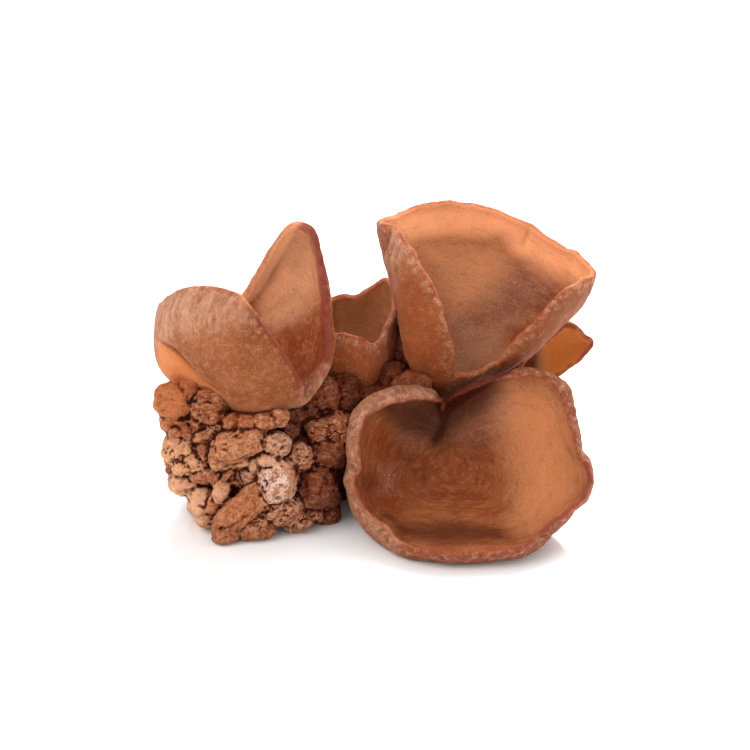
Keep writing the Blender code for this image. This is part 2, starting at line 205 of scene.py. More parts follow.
def smoothed(mesh, points, rounds):
    """The points, each drawn to the middle of its neighbours a number of times."""
    ends = np.empty(2 * len(mesh.edges), np.int32)
    mesh.edges.foreach_get("vertices", ends)
    first, second = ends[0::2], ends[1::2]
    count = np.bincount(ends, minlength=len(points)).astype(float)
    around = points.copy()
    for _ in range(rounds):
        total = np.empty_like(around)
        for axis in range(3):
            values = around[:, axis]
            total[:, axis] = np.bincount(first, values[second], len(points))
            total[:, axis] += np.bincount(second, values[first], len(points))
        around = 0.5 * around + 0.5 * total / count[:, None]
    return around


def hollowness(mesh, points, normals, rounds):
    """How far each vertex lies below the surface round it, in millimetres."""
    return np.sum((smoothed(mesh, points, rounds) - points) * normals, axis=1)


def add_values(mesh, **layers):
    """Stores one number or one vector on each vertex under each name, for the materials."""
    for name, values in layers.items():
        if values.ndim == 1:
            layer = mesh.attributes.new(name, "FLOAT", "POINT")
            layer.data.foreach_set("value", values.astype(np.float32))
        else:
            layer = mesh.attributes.new(name, "FLOAT_VECTOR", "POINT")
            layer.data.foreach_set("vector", values.astype(np.float32).ravel())


def dress(mesh, *skins):
    """Gives a mesh its materials."""
    mesh.materials.clear()
    for skin in skins:
        mesh.materials.append(skin)


# The photograph's view: where a point shows in it, and what shows at a place in it

def photo_places(points):
    """Pixels at which points of the object show in the photograph."""
    reach = points - CAMERA_PLACE
    depth = reach @ FORWARD
    across = PHOTO_SIDE / 2.0 + FOCAL_PIXELS * (reach @ SIDEWAYS) / depth
    down = PHOTO_SIDE / 2.0 - FOCAL_PIXELS * (reach @ UPWARD) / depth
    return np.stack([across, down], axis=-1)


def photo_direction(pixel):
    across = (pixel[0] - PHOTO_SIDE / 2.0) / FOCAL_PIXELS
    up = (PHOTO_SIDE / 2.0 - pixel[1]) / FOCAL_PIXELS
    return FORWARD + across * SIDEWAYS + up * UPWARD


def line_points(line, step):
    """Points along a line of corners, one each step or so."""
    found = []
    for start, end in zip(line, line[1:]):
        start, end = np.array(start, float), np.array(end, float)
        count = max(1, int(np.linalg.norm(end - start) / step))
        found.extend(start + (end - start) * k / count for k in range(count))
    found.append(np.array(line[-1], float))
    return found


def seen_points(tree, line):
    """Where a line drawn on the photograph falls on a surface."""
    found = []
    start = Vector(CAMERA_PLACE)
    for pixel in line_points(line, PIXEL_STEP):
        hit = tree.ray_cast(start, Vector(photo_direction(pixel)))[0]
        if hit is not None:
            found.append(hit)
    return np.array(found)


def region_share(points, corners, softness):
    """How far points lie inside a region drawn on the photograph, from 0 to 1."""
    pixels = photo_places(points).reshape(-1, 2)
    corners = np.array(corners, float)
    inside = np.zeros(len(pixels), bool)
    nearest = np.full(len(pixels), FAR)
    for start, end in zip(corners, np.roll(corners, -1, axis=0)):
        side = end - start
        along = np.clip(((pixels - start) @ side) / (side @ side), 0.0, 1.0)
        gap = np.linalg.norm(pixels - start - along[:, None] * side, axis=1)
        nearest = np.minimum(nearest, gap)
        crosses = (start[1] > pixels[:, 1]) != (end[1] > pixels[:, 1])
        level = start[0] + (pixels[:, 1] - start[1]) / (side[1] or TINY) * side[0]
        inside ^= crosses & (pixels[:, 0] < level)
    signed = np.where(inside, nearest, -nearest)
    return smooth_step(-softness, softness, signed).reshape(points.shape[:-1])


# Walls: a rib is a point of the rim and the way in which the wall leaves it

def closed_curve(points, places):
    """Catmull-Rom curve through a closed loop of points, read at the places, in points."""
    count = len(points)
    whole = np.floor(places).astype(int)
    share = (places - whole)[:, None]
    before, start = points[(whole - 1) % count], points[whole % count]
    end, after = points[(whole + 1) % count], points[(whole + 2) % count]
    return 0.5 * (
        2.0 * start
        + (end - before) * share
        + (2.0 * before - 5.0 * start + 4.0 * end - after) * share**2
        + (3.0 * start - before - 3.0 * end + after) * share**3
    )


def even_places(points, count):
    """Places along a closed loop of points that are evenly far apart."""
    fine = np.linspace(0.0, len(points), CURVE_STEPS * len(points) + 1)
    line = closed_curve(points, fine)
    travelled = np.append(0.0, np.cumsum(np.linalg.norm(np.diff(line, axis=0), axis=1)))
    wanted = np.linspace(0.0, travelled[-1], count, endpoint=False)
    return np.interp(wanted, travelled, fine), travelled[-1]


def stalk_outwards(rim, foot, axis, evenness):
    """Directions round the stalk: even ones for 1, those in which the rim is seen for 0."""
    axis = Vector(axis)
    first = axis.orthogonal().normalized()
    second = np.array(axis.cross(first).normalized())
    first = np.array(first)
    reach = rim - foot
    seen = np.unwrap(np.arctan2(reach @ second, reach @ first))
    sense = math.copysign(1.0, seen[-1] - seen[0])
    even = sense * np.arange(len(rim)) * 2.0 * math.pi / len(rim)
    start = np.angle(np.exp(1j * (seen - even)).mean())
    uneven = np.angle(np.exp(1j * (seen - even - start)))
    turn = (even + start + (1.0 - evenness) * uneven)[:, None]
    return np.cos(turn) * first + np.sin(turn) * second


def wall_rows(ear):
    """The middle of an ear's wall as rows of points, from the rim down to the stalk."""
    ribs = np.array([rib[0] for rib in ear["ribs"]], float) + PLACE
    pulls = np.array([rib[1] for rib in ear["ribs"]], float)
    places, ear["rim_length"] = even_places(ribs, ear["around"])
    rim = closed_curve(ribs, places)
    pull = closed_curve(pulls, places)
    foot = np.array(ear["foot"], float) + PLACE
    axis = np.array(Vector(ear["axis"]).normalized())
    outwards = stalk_outwards(rim, foot, axis, ear["evenness"])
    end = foot + ear["stalk_radius"] * outwards
    length = np.linalg.norm(rim - end, axis=1)[:, None]
    rise = ear["rise"] * np.minimum(length / FULL_LENGTH, 1.0)
    turn_out = end + rise * axis + ear["flare"] * length * outwards
    rows = []
    for share in np.linspace(0.0, 1.0, ear["along"]):
        rest = 1.0 - share
        rows.append(
            rest**3 * rim
            + 3.0 * rest**2 * share * (rim + pull)
            + 3.0 * rest * share**2 * turn_out
            + share**3 * end
        )
    return np.array(rows)


def evened(grid, rounds):
    """A grid of values, each drawn towards its neighbours."""
    for _ in range(rounds):
        longer = np.concatenate([grid[:1], grid, grid[-1:]])
        beside = np.roll(grid, 1, axis=1) + np.roll(grid, -1, axis=1)
        grid = 0.25 * (longer[:-2] + longer[2:] + beside)
    return grid


def evened_round(rows, widths):
    """Rows evened out along themselves, each over its own width in millimetres."""
    count = rows.shape[1]
    step = np.linalg.norm(np.roll(rows, -1, axis=1) - rows, axis=2).mean(axis=1)
    widths = np.minimum(widths, WIDEST_EVENING * step * count)
    turn = 2.0 * math.pi * np.fft.rfftfreq(count)
    keep = np.exp(-0.5 * (turn * (widths / step)[:, None]) ** 2)
    return np.fft.irfft(np.fft.rfft(rows, axis=1) * keep[..., None], count, axis=1)


def wall_normals(rows, rounds):
    """Unit normals of the rows, pointing out of the cup, evened out over sharp bends."""
    round_wise = np.roll(rows, -1, axis=1) - np.roll(rows, 1, axis=1)
    normals = unit(np.cross(round_wise, np.gradient(rows, axis=0)))
    if ((rows - rows[0].mean(axis=0)) * normals).sum() < 0.0:
        normals = -normals
    return unit(evened(normals, rounds))


def wall_tree(rows):
    """The middle of the wall as a surface that rays can be cast at."""
    along, around = rows.shape[:2]
    index = np.arange(along * around).reshape(along, around)
    beside = np.roll(index, -1, axis=1)
    faces = np.stack([index[:-1], beside[:-1], beside[1:], index[1:]], axis=-1)
    return BVHTree.FromPolygons(rows.reshape(-1, 3).tolist(), faces.reshape(-1, 4).tolist())


def crease_lift(rows, normals, tree, line, width, depth):
    """How far a crease that the photograph shows moves the wall out of the cup."""
    points = seen_points(tree, line)
    if len(points) == 0:
        return 0.0
    flat = rows.reshape(-1, 3)
    nearest = np.full(len(flat), FAR)
    taper = np.zeros(len(flat))
    for number, point in enumerate(points):
        gap = np.linalg.norm(flat - point, axis=1)
        nearer = gap < nearest
        nearest[nearer] = gap[nearer]
        taper[nearer] = math.sin(math.pi * (number + 1) / (len(points) + 1)) ** 0.5
    middle = np.linalg.norm(flat - points[len(points) // 2], axis=1).argmin()
    facing = normals.reshape(-1, 3)[middle] @ (CAMERA_PLACE - flat[middle])
    lift = -math.copysign(depth, facing) * taper * np.exp(-((nearest / width) ** 2))
    return lift.reshape(rows.shape[:2])


def flow_places(ear, along):
    """Coordinates that follow the wall: round the rim on a circle, and down the ribs."""
    turn = np.linspace(0.0, 2.0 * math.pi, ear["around"], endpoint=False)
    radius = ear["rim_length"] / (2.0 * math.pi)
    flow = np.zeros((*along.shape, 3))
    flow[..., 0] = radius * np.cos(turn)
    flow[..., 1] = radius * np.sin(turn)
    flow[..., 2] = along
    return flow


def shape_wall(ear):
    """The wall with its waves, folds and creases, as rows and their normals.

    It also returns how far each point lies below the rim, and coordinates that follow the wall.
    """
    rows = wall_rows(ear)
    seed = ear["seed"]
    share = np.linspace(0.0, 1.0, len(rows))
    rows = evened_round(rows, LEAST_EVENING + ear["evening"] * smooth_step(*WALL_EVENING, share))
    steps = np.linalg.norm(np.diff(rows, axis=0), axis=2)
    down = np.concatenate([np.zeros((1, rows.shape[1])), np.cumsum(steps, axis=0)])
    flow = flow_places(ear, down)
    near_rim = np.exp(-down / RIM_REACH)
    rows = rows + (near_rim * relief(flow, RAGGED_RIM, seed))[..., None] * unit(rows[0] - rows[1])
    normals = wall_normals(rows, NORMAL_ROUNDS)
    tree = wall_tree(rows)
    lift = ear["waves"] * relief(rows, WAVES, seed)
    lift += ear["waves"] * near_rim * relief(flow * DOWN_STRETCH, RIM_WAVES, seed)
    streaks = ear["streaks"] * relief(flow * STREAK_STRETCH, STREAKS, seed)
    lift += streaks * smooth_step(*STREAK_START, down) * np.exp(-down / STREAK_REACH)
    for line, width, depth in ear.get("creases", ()):
        lift = lift + crease_lift(rows, normals, tree, line, width, depth)
    rows = rows + lift[..., None] * normals
    return rows, wall_normals(rows, LAST_NORMAL_ROUNDS), down, flow


def wall_sides(ear, rows, normals, down, flow):
    """The outer and the inner side of a wall, and half its thickness."""
    seed = ear["seed"]
    share = np.linspace(0.0, 1.0, len(rows))[:, None]
    full = np.minimum(down[-1] / FULL_LENGTH, 1.0)
    at_rim = ear["rim_thickness"] * (1.0 + relief(flow[:1], RIM_UNEVENNESS, seed))
    thickness = at_rim + (DEEP_THICKNESS - at_rim) * full * smooth_step(*THICKENING, share)
    if "thin" in ear:
        thickness *= 1.0 - THINNING * region_share(rows, ear["thin"], THINNING_SOFTNESS)
    half = 0.5 * thickness
    grain = relief(rows, GRAIN, seed)
    veins = ear["veins"] * ridges_at(rows, VEIN_SPACING, seed + VEIN_SEED)
    knobs = relief(rows, KNOBS, seed)
    knobs *= ear["knobs"] * np.exp(-((down / KNOB_REACH) ** 2)) * thickness / at_rim
    outside = rows + (half + ear["grain"] * grain + knobs)[..., None] * normals
    inside = rows - (half - veins + INSIDE_GRAIN * grain)[..., None] * normals
    widths = LEAST_EVENING + ear["cup_evening"] * smooth_step(*CUP_EVENING, share[:, 0])
    inside = evened_round(inside, widths)
    outside[..., 2] = np.maximum(outside[..., 2], FLOOR_CLEARANCE)
    inside[..., 2] = np.maximum(inside[..., 2], FLOOR_CLEARANCE + 2.0 * half)
    return outside, inside, half


def rim_rings(rows, outside, inside, half):
    """Rings over the rim from outside to inside, and how far each lies in from its middle."""
    edge_out = unit(rows[0] - rows[2])
    middle = 0.5 * (outside[0] + inside[0])
    across = 0.5 * (outside[0] - inside[0])
    rings, edge = [], []
    for step in range(1, RIM_STEPS + 1):
        turn = math.pi * step / (RIM_STEPS + 1)
        side = math.copysign(abs(math.cos(turn)) ** RIM_SQUARENESS, math.cos(turn))
        crest = RIM_CREST * math.sin(turn) ** RIM_SQUARENESS
        ring = middle + side * across + (crest * half[0])[:, None] * edge_out
        ring[:, 2] = np.maximum(ring[:, 2], FLOOR_CLEARANCE)
        rings.append(ring)
        edge.append(-side * half[0])
    return rings, edge


def cup_rings(inside, throat, rounds):
    """The inner side down to its throat, closed by a rounded floor."""
    kept = inside[:throat]
    last, way = kept[-1], kept[-1] - kept[-3]
    centre = last.mean(axis=0)
    reach = np.linalg.norm(last - centre, axis=1)[:, None]
    bend = last + unit(way) * FLOOR_BEND * reach
    low = centre + FLOOR_DEPTH * (bend.mean(axis=0) - centre)
    floor = []
    for number in range(1, FLOOR_RINGS + 1):
        t = number / (FLOOR_RINGS + 1)
        floor.append((1 - t) ** 2 * last + 2 * t * (1 - t) * bend + t * t * low)
    cup = np.concatenate([kept, floor])
    first, full = FLOOR_BLEND
    weight = smooth_step(throat + first, throat + full, np.arange(len(cup)))[:, None, None]
    for _ in range(rounds):
        middle = np.repeat(cup[-1].mean(axis=0)[None, None], len(last), axis=1)
        longer = np.concatenate([cup[:1], cup, middle])
        beside = np.roll(cup, 1, axis=1) + np.roll(cup, -1, axis=1)
        cup = cup + weight * (0.25 * (longer[:-2] + longer[2:] + beside) - cup)
    return cup


def ear_rings(ear):
    """Closed rings from the stalk's end, up the outside, over the rim, down to the cup's floor.

    With them come each point's way from the rim, which is less than 0 on the outside, and its
    coordinates that follow the wall.
    """
    rows, normals, down, flow = shape_wall(ear)
    outside, inside, half = wall_sides(ear, rows, normals, down, flow)
    rim, rim_edge = rim_rings(rows, outside, inside, half)
    throat = int(ear["throat"] * len(rows))
    cup = cup_rings(inside, throat, ear["floor_rounds"])
    plug = outside[-1] - STALK_IN_KNOT * np.array(Vector(ear["axis"]).normalized())
    rings = np.concatenate([[plug], outside[::-1], rim, cup])
    floor_steps = np.linalg.norm(np.diff(cup[throat - 1:], axis=0), axis=2)
    floor_down = down[throat - 1] + np.cumsum(floor_steps, axis=0)
    cup_down = np.concatenate([down[:throat], floor_down])
    edge = np.concatenate([
        -(down[-1:] + half[0] + STALK_IN_KNOT), -(down[::-1] + half[0]), rim_edge, cup_down + half[0],
    ])
    return rings, edge, flow_places(ear, np.abs(edge))


def ring_mesh(name, rings):
    """A closed mesh over the rings: a cylinder cut into as many rings, each set in its place.

    It returns the object, and for each vertex its ring and its place round the ring.
    """
    count, around = rings.shape[:2]
    deselect_all()
    bpy.ops.mesh.primitive_cylinder_add(
        vertices=around, radius=1.0, depth=1.0, end_fill_type="TRIFAN", location=(0, 0, 0)
    )
    item = bpy.context.object
    item.name = name
    mesh = item.data
    mesh.name = name
    bpy.ops.object.mode_set(mode="EDIT")
    bpy.ops.mesh.select_all(action="DESELECT")
    bpy.ops.mesh.select_mode(type="EDGE")
    bpy.ops.object.mode_set(mode="OBJECT")
    height = vertex_places(mesh)[:, 2]
    for edge in mesh.edges:
        first, second = edge.vertices
        edge.select = bool(abs(height[first] - height[second]) > 0.5)
    bpy.ops.object.mode_set(mode="EDIT")
    bpy.ops.mesh.subdivide_edgering(number_cuts=count - 2, interpolation="LINEAR", smoothness=0)
    bpy.ops.object.mode_set(mode="OBJECT")
    places = vertex_places(mesh)
    ring = np.rint((places[:, 2] + 0.5) * (count - 1)).astype(int)
    turn = np.arctan2(places[:, 1], places[:, 0])
    place = np.rint(turn / (2.0 * math.pi) * around).astype(int) % around
    shaped = rings[ring, place]
    middle = np.hypot(places[:, 0], places[:, 1]) < 0.5
    for end in (0, count - 1):
        shaped[middle & (ring == end)] = rings[end].mean(axis=0)
    set_vertex_places(mesh, shaped * MM)
    bpy.ops.object.mode_set(mode="EDIT")
    bpy.ops.mesh.select_all(action="SELECT")
    bpy.ops.mesh.normals_make_consistent(inside=False)
    bpy.ops.object.mode_set(mode="OBJECT")
    mesh.shade_smooth()
    return item, ring, place


def rim_share(ear, rings, edge, flow):
    """Where the purple band along the rim lies, from 0 to 1."""
    edge = edge + relief(flow * DOWN_STRETCH, BAND_WOBBLE, ear["seed"])
    outer, inner = ear["band"]
    share = smooth_step(-outer - BAND_SOFTNESS, -outer + BAND_SOFTNESS, edge)
    share *= smooth_step(inner + BAND_SOFTNESS, inner - BAND_SOFTNESS, edge)
    strength = np.full(edge.shape, float(ear["band_strength"]))
    for softness, value, corners in ear.get("band_regions", ()):
        inside = region_share(rings, corners, softness)
        strength += inside * (value - strength)
    return share * strength


def mask_share(ear, mask, rings, edge):
    """One of the masks of an ear: where its regions of the photograph fall, from 0 to 1."""
    inner = smooth_step(-SIDE_BLEND, SIDE_BLEND, edge)
    sides = {"inside": inner, "outside": 1.0 - inner, "both": 1.0}
    total = np.zeros(edge.shape)
    for side, softness, strength, corners in ear.get(mask, ()):
        share = strength * region_share(rings, corners, softness)
        total = np.maximum(total, share * sides[side])
    return total


def make_ear(name, ear, skins):
    rings, edge, flow = ear_rings(ear)
    item, ring, place = ring_mesh(name + "_grown", rings)
    mesh = item.data
    # How far each vertex lies in a hollow, for the painted shade there
    hollow = hollowness(mesh, vertex_places(mesh) / MM, vertex_normals(mesh), EAR_HOLLOW_ROUNDS)
    add_values(
        mesh, edge=edge[ring, place], flow=flow[ring, place],
        band=rim_share(ear, rings, edge, flow)[ring, place],
        hollow=np.clip(EAR_HOLLOW_GAIN * hollow - EAR_HOLLOW_START, 0.0, 1.0),
        **{mask: mask_share(ear, mask, rings, edge)[ring, place] for mask in MASKS},
    )
    dress(mesh, *skins)
    first = np.array([mesh.loops[face.loop_start].vertex_index for face in mesh.polygons])
    inside = (edge[ring, place] > 0.0)[first]
    mesh.polygons.foreach_set("material_index", inside.astype(np.int32))
    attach(item, "root")
    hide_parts(name)
    return item


# The ears

# Each rib is (point of the rim), (pull of the wall there), in millimetres. Lines and regions are
# corners in the photograph. A crease is (line, width, depth), and a depth below 0 stands up. A
# mask has regions as (side of the wall, softness in pixels, strength, region), and the purple
# band along the rim as (softness in pixels, strength, region)


def front_ear():
    """The wide bowl that lies open at the front, with a pleat where its rim meets the stalk."""
    ribs = [
        ((28, -43, 5), (0, 3, -10)),
        ((21, -43, 5), (0, 3, -10)),
        ((14, -42, 5), (-1, 3, -10)),
        ((9, -39, 5), (-6, 4, -11)),
        ((5, -36, 6), (-9, 5, -12)),
        ((2, -33, 8), (-11, 6, -11)),
        ((-1, -30, 9.5), (-11, 7, -9)),
        ((-4, -27, 11.5), (-9, 9, -6)),
        ((-5, -25, 14), (-9, 9, -5)),
        ((-6, -23, 17), (-9, 9, -3)),
        ((-4.5, -22, 20), (-10, 8, -2)),
        ((-5, -20, 25), (-9, 8, 0)),
        ((-4.5, -18, 28), (-9, 8, 1)),
        ((-3.5, -15, 31), (-8, 8, 4)),
        ((-1, -12, 33), (-7, 8, 6)),
        ((3, -10, 34), (-5, 7, 7)),
        ((7, -8, 34), (-3, 7, 8)),
        ((12, -6, 34), (-1, 7, 7)),
        ((16, -3, 32.5), (1, 7, 4)),
        ((18.4, 0, 30), (-1, 6, 0)),
        ((19.2, 3, 26.5), (0, 5, -4)),
        ((20.8, 1, 29.5), (1, 5, 0)),
        ((24.5, -2, 33.5), (0, 5, 1)),
        ((29.5, -3, 36.5), (-1, 6, 1.5)),
        ((35, -4, 39), (0, 6, 2)),
        ((40, -5, 40.5), (1, 6, 3)),
        ((45, -6, 41), (2, 6, 4)),
        ((49, -8, 39.5), (5, 6, 4)),
        ((51.5, -10, 37.5), (8, 7, 4)),
        ((52.5, -12, 35.5), (9, 7, 3)),
        ((53.5, -15, 32), (9, 8, 1)),
        ((55, -18, 28), (7, 8, 0)),
        ((55.5, -20, 23.5), (6, 8, 0)),
        ((58.5, -21, 20), (5, 9, -1)),
        ((58.5, -23, 17), (5, 9, -3)),
        ((57, -26, 14.5), (7, 8, -5)),
        ((54, -29, 13), (7, 7, -8)),
        ((50.5, -32, 11), (7, 6, -9)),
        ((47, -35, 9.5), (6, 5, -11)),
        ((43, -38, 7.5), (5, 4, -12)),
        ((38.5, -41, 6), (3, 3, -11)),
        ((33.5, -42, 5), (1, 3, -10)),
    ]
    groove = [(390, 430), (400, 451), (405, 469), (407, 486), (405, 500), (412, 506)]
    bump = [(385, 468), (384, 480), (388, 492)]
    pinch = [(357, 481), (366, 484), (374, 480)]
    pale_line = [(361, 490), (367, 500), (374, 511)]
    pleat = [(440, 402), (435, 427), (428, 444)]
    vein = [(502, 376), (512, 395), (523, 409), (530, 420)]
    lower_fold = [(400, 528), (435, 528), (461, 527), (484, 528), (505, 537)]
    glowing = [
        (505, 385), (545, 385), (562, 410), (572, 440), (580, 470), (572, 495),
        (555, 515), (530, 530), (515, 520), (520, 480), (510, 450), (500, 420),
    ]
    shaded = [
        (438, 405), (480, 395), (510, 400), (515, 430), (490, 450), (450, 450),
        (430, 440), (425, 420),
    ]
    centre = [(420, 450), (500, 450), (505, 500), (440, 505), (415, 480)]
    pleat_shadow = [
        (372, 402), (440, 396), (500, 374), (506, 392), (470, 418), (440, 446), (425, 440),
        (400, 432),
    ]
    low_shadow = [(385, 515), (410, 524), (461, 521), (500, 528), (512, 540), (440, 546), (400, 538)]
    left_shadow = [(364, 420), (384, 430), (400, 460), (404, 505), (378, 520), (362, 480), (372, 470)]
    junction = [(436, 396), (452, 378), (500, 360), (512, 372), (480, 394), (448, 414)]
    purple_right = [
        (520, 362), (575, 372), (600, 400), (600, 480), (560, 560), (500, 570), (510, 545),
        (575, 500), (585, 440), (560, 385),
    ]
    recess = [
        (432, 402), (450, 394), (505, 368), (508, 378), (472, 402), (454, 414), (445, 438),
        (434, 448), (429, 440), (437, 422),
    ]
    low_rim = [(420, 545), (520, 540), (520, 575), (420, 575)]
    crinkled = [(395, 405), (445, 400), (445, 430), (432, 446), (415, 450), (398, 438)]
    grey = [(450, 402), (515, 385), (522, 425), (475, 440), (446, 434)]
    pale_bump = [(378, 460), (394, 464), (397, 490), (380, 492)]
    notch_shade = [(358, 474), (376, 470), (380, 486), (362, 494)]
    outer_side = [(330, 360), (620, 340), (620, 590), (330, 590)]
    left_rim = [
        (340, 395), (380, 378), (445, 380), (443, 402), (384, 406), (364, 430), (360, 470),
        (374, 505), (402, 532), (396, 556), (350, 515), (334, 470),
    ]
    crinkles = [
        [(418, 403), (424, 418), (427, 434)],
        [(404, 409), (414, 422), (421, 439)],
        [(394, 418), (406, 430), (414, 444)],
    ]
    # Painted light and shade here: the glow at the right, the shade inside and on the whole outer side,
    # and the highlight on the pale bump
    # the dark shade of the pleat, recess, junction, notch and low bowl, the warm shadow at the left,
    marks = dict(
        band_regions=[(6, 0.95, purple_right), (6, 0.5, low_rim), (5, 0.0, junction)],
        deep_shade=[
            ("inside", 12, 0.75, pleat_shadow), ("inside", 5, 0.95, recess),
            ("inside", 8, 0.75, low_shadow),
            ("both", 4, 0.97, junction), ("inside", 5, 0.35, notch_shade),
        ],
        pale_and_highlight=[
            ("inside", 8, 1.0, crinkled), ("inside", 10, 0.35, grey), ("inside", 7, 1.0, pale_bump),
            ("outside", 4, 0.38, left_rim),
        ],
        creases=[
            (groove, 1.8, 1.3), (bump, 2.4, -1.5), (pinch, 1.8, 1.8), (pale_line, 1.3, -0.5),
            (pleat, 1.8, 1.2), (vein, 0.9, 0.5), (lower_fold, 3.0, 1.0),
        ] + [(line, 0.8, 0.6) for line in crinkles],
        glow=[("inside", 25, 0.62, glowing)],
        dusk=[("inside", 15, 0.6, shaded), ("outside", 1, 0.55, outer_side)],
        warm=[
            ("inside", 25, 0.4, centre), ("inside", 12, 0.8, left_shadow),
            ("inside", 20, 0.4, glowing),
        ],
    )
    return dict(
        ribs=ribs, thin=junction, around=420, along=84, throat=0.7, floor_rounds=60,
        foot=(21, 11, 15), axis=(0, -1, -0.1), stalk_radius=4.0, rise=5, flare=0.3,
        evenness=1, rim_thickness=1.5, waves=1.0, streaks=0.10, veins=0.10, grain=1.2, seed=1,
        knobs=0.42, evening=3.5, cup_evening=6.0, band=(0.9, 1.3), band_strength=0.35,
        **marks,
    )


def tall_ear():
    """The large upright scoop: a high back wall, and a left side folded to the front."""
    ribs = [
        ((21.6, 3, 45), (-19, 0, -9)),
        ((21.4, 4, 41), (-15, 0, -8)),
        ((22.5, 5, 37), (-8, 1, -6)),
        ((25, 5, 36), (-2, 2, -4)),
        ((28, 4, 37), (-1, 2, -4)),
        ((31.5, 3, 39), (0, 3, -5)),
        ((34.5, 2, 41.5), (0, 3, -6)),
        ((36, 1, 44.5), (1, 2, -7)),
        ((39, -1.5, 49.5), (3, 2, -11)),
        ((42.5, -3, 54), (4, 1, -14)),
        ((47.5, -3, 59.5), (5, 1, -16)),
        ((52, -1, 63.5), (4, 2, -17)),
        ((57.5, 4, 65), (2, 4, -18)),
        ((60.5, 11, 65), (0, 7, -21)),
        ((57, 19, 67), (1, 9, -22)),
        ((52.5, 22, 68.5), (2, 10, -23)),
        ((48.5, 25, 70.5), (2, 11, -21)),
        ((44, 27, 72.5), (2, 11, -22)),
        ((35.5, 29, 76), (1, 12, -23)),
        ((28.5, 29.5, 78), (0, 12, -23)),
        ((20, 28, 79.5), (-1, 12, -23)),
        ((15.5, 26, 79.5), (-2, 11, -23)),
        ((10, 23, 79), (0, 11, -22)),
        ((5.5, 19, 78.5), (3, 10, -21)),
        ((3, 15, 79), (4, 9, -20)),
        ((1.2, 10, 80), (3, 6, -20)),
        ((2.5, 5, 81), (0, 5, -15)),
        ((5.5, 1, 81), (-3, 4, -12)),
        ((8, -3, 79), (-6, 4, -12)),
        ((11.5, -6, 74.5), (-11, 3, -10)),
        ((15, -8, 69), (-15, 3, -8)),
        ((17.5, -7, 62), (-18, 2, -7)),
        ((19.5, -3, 53.5), (-19, 0, -9)),
    ]
    notch = [(529, 229), (526, 237), (523, 245)]
    crease = [(447, 306), (455, 318), (462, 332)]
    second_crease = [(456, 300), (466, 312), (474, 322)]
    lit = [
        (372, 205), (600, 190), (600, 290), (577, 284), (556, 278), (511, 253), (502, 238),
        (445, 237), (410, 241), (392, 232),
    ]
    half_lit = [
        (405, 235), (500, 240), (512, 258), (496, 290), (470, 310), (452, 320), (440, 300),
        (425, 272), (408, 250),
    ]
    dim = [(500, 262), (520, 262), (556, 284), (545, 302), (520, 325), (490, 330), (470, 312)]
    low = [(450, 315), (505, 322), (500, 360), (465, 376), (446, 370)]
    flap_top = [(390, 228), (400, 230), (412, 250), (420, 275), (404, 262), (386, 264)]
    left_strip = [(376, 222), (391, 230), (386, 262), (386, 276), (378, 262)]
    strip_fold = [(393, 227), (389, 240), (386, 255), (386, 270)]
    flap_folds = [[(399, 236), (394, 250), (391, 264)], [(404, 242), (399, 254), (395, 266)]]
    right_outer = [(500, 372), (556, 300), (600, 282), (600, 300), (560, 352), (512, 376)]
    flap = [(390, 275), (420, 280), (444, 325), (446, 372), (400, 382), (402, 330)]
    purple_left = [(384, 218), (400, 226), (455, 330), (456, 374), (444, 374), (438, 310), (400, 246)]
    purple_right = [(598, 284), (560, 290), (500, 350), (506, 366), (560, 320), (600, 296)]
    base = [(425, 366), (470, 378), (520, 350), (522, 374), (450, 404), (422, 396)]
    # Painted light and shade here: the glow of the lit parts, the shade of the dim, low and right outer
    # parts, and the dark warm shade of the left strip and the base; the flap's pale top is grains with a
    # painted sheen
    marks = dict(
        band_regions=[(4, 0.9, purple_left), (4, 0.8, purple_right)],
        deep_shade=[("outside", 6, 0.2, base)],
        creases=[(notch, 1.5, 1.0), (crease, 1.4, 0.8), (second_crease, 1.4, 0.6),
                 (strip_fold, 1.2, 0.9)] + [(line, 0.8, 0.4) for line in flap_folds],
        glow=[("inside", 15, 1.0, lit), ("inside", 24, 0.5, half_lit), ("inside", 18, 0.2, low)],
        dusk=[("inside", 18, 0.7, dim), ("inside", 12, 0.8, low), ("outside", 6, 0.55, right_outer)],
        warm=[("outside", 8, 0.6, flap), ("outside", 3, 0.7, left_strip), ("outside", 6, 0.9, base)],
        pale_and_highlight=[("outside", 8, 0.7, flap_top), ("inside", 12, 1.0, low), ("inside", 12, 0.7, dim)],
    )
    return dict(
        ribs=ribs, around=420, along=84, throat=0.8, floor_rounds=40,
        foot=(19, 18, 26), axis=(0.1, -0.2, 1), stalk_radius=4.5, rise=8, flare=0.05,
        evenness=1, rim_thickness=1.9, waves=1.0, streaks=0.08, veins=0.10, grain=0.9, seed=20,
        knobs=0.12, evening=2.5, cup_evening=4.0, band=(0.5, 1.0), band_strength=0.25,
        **marks,
    )


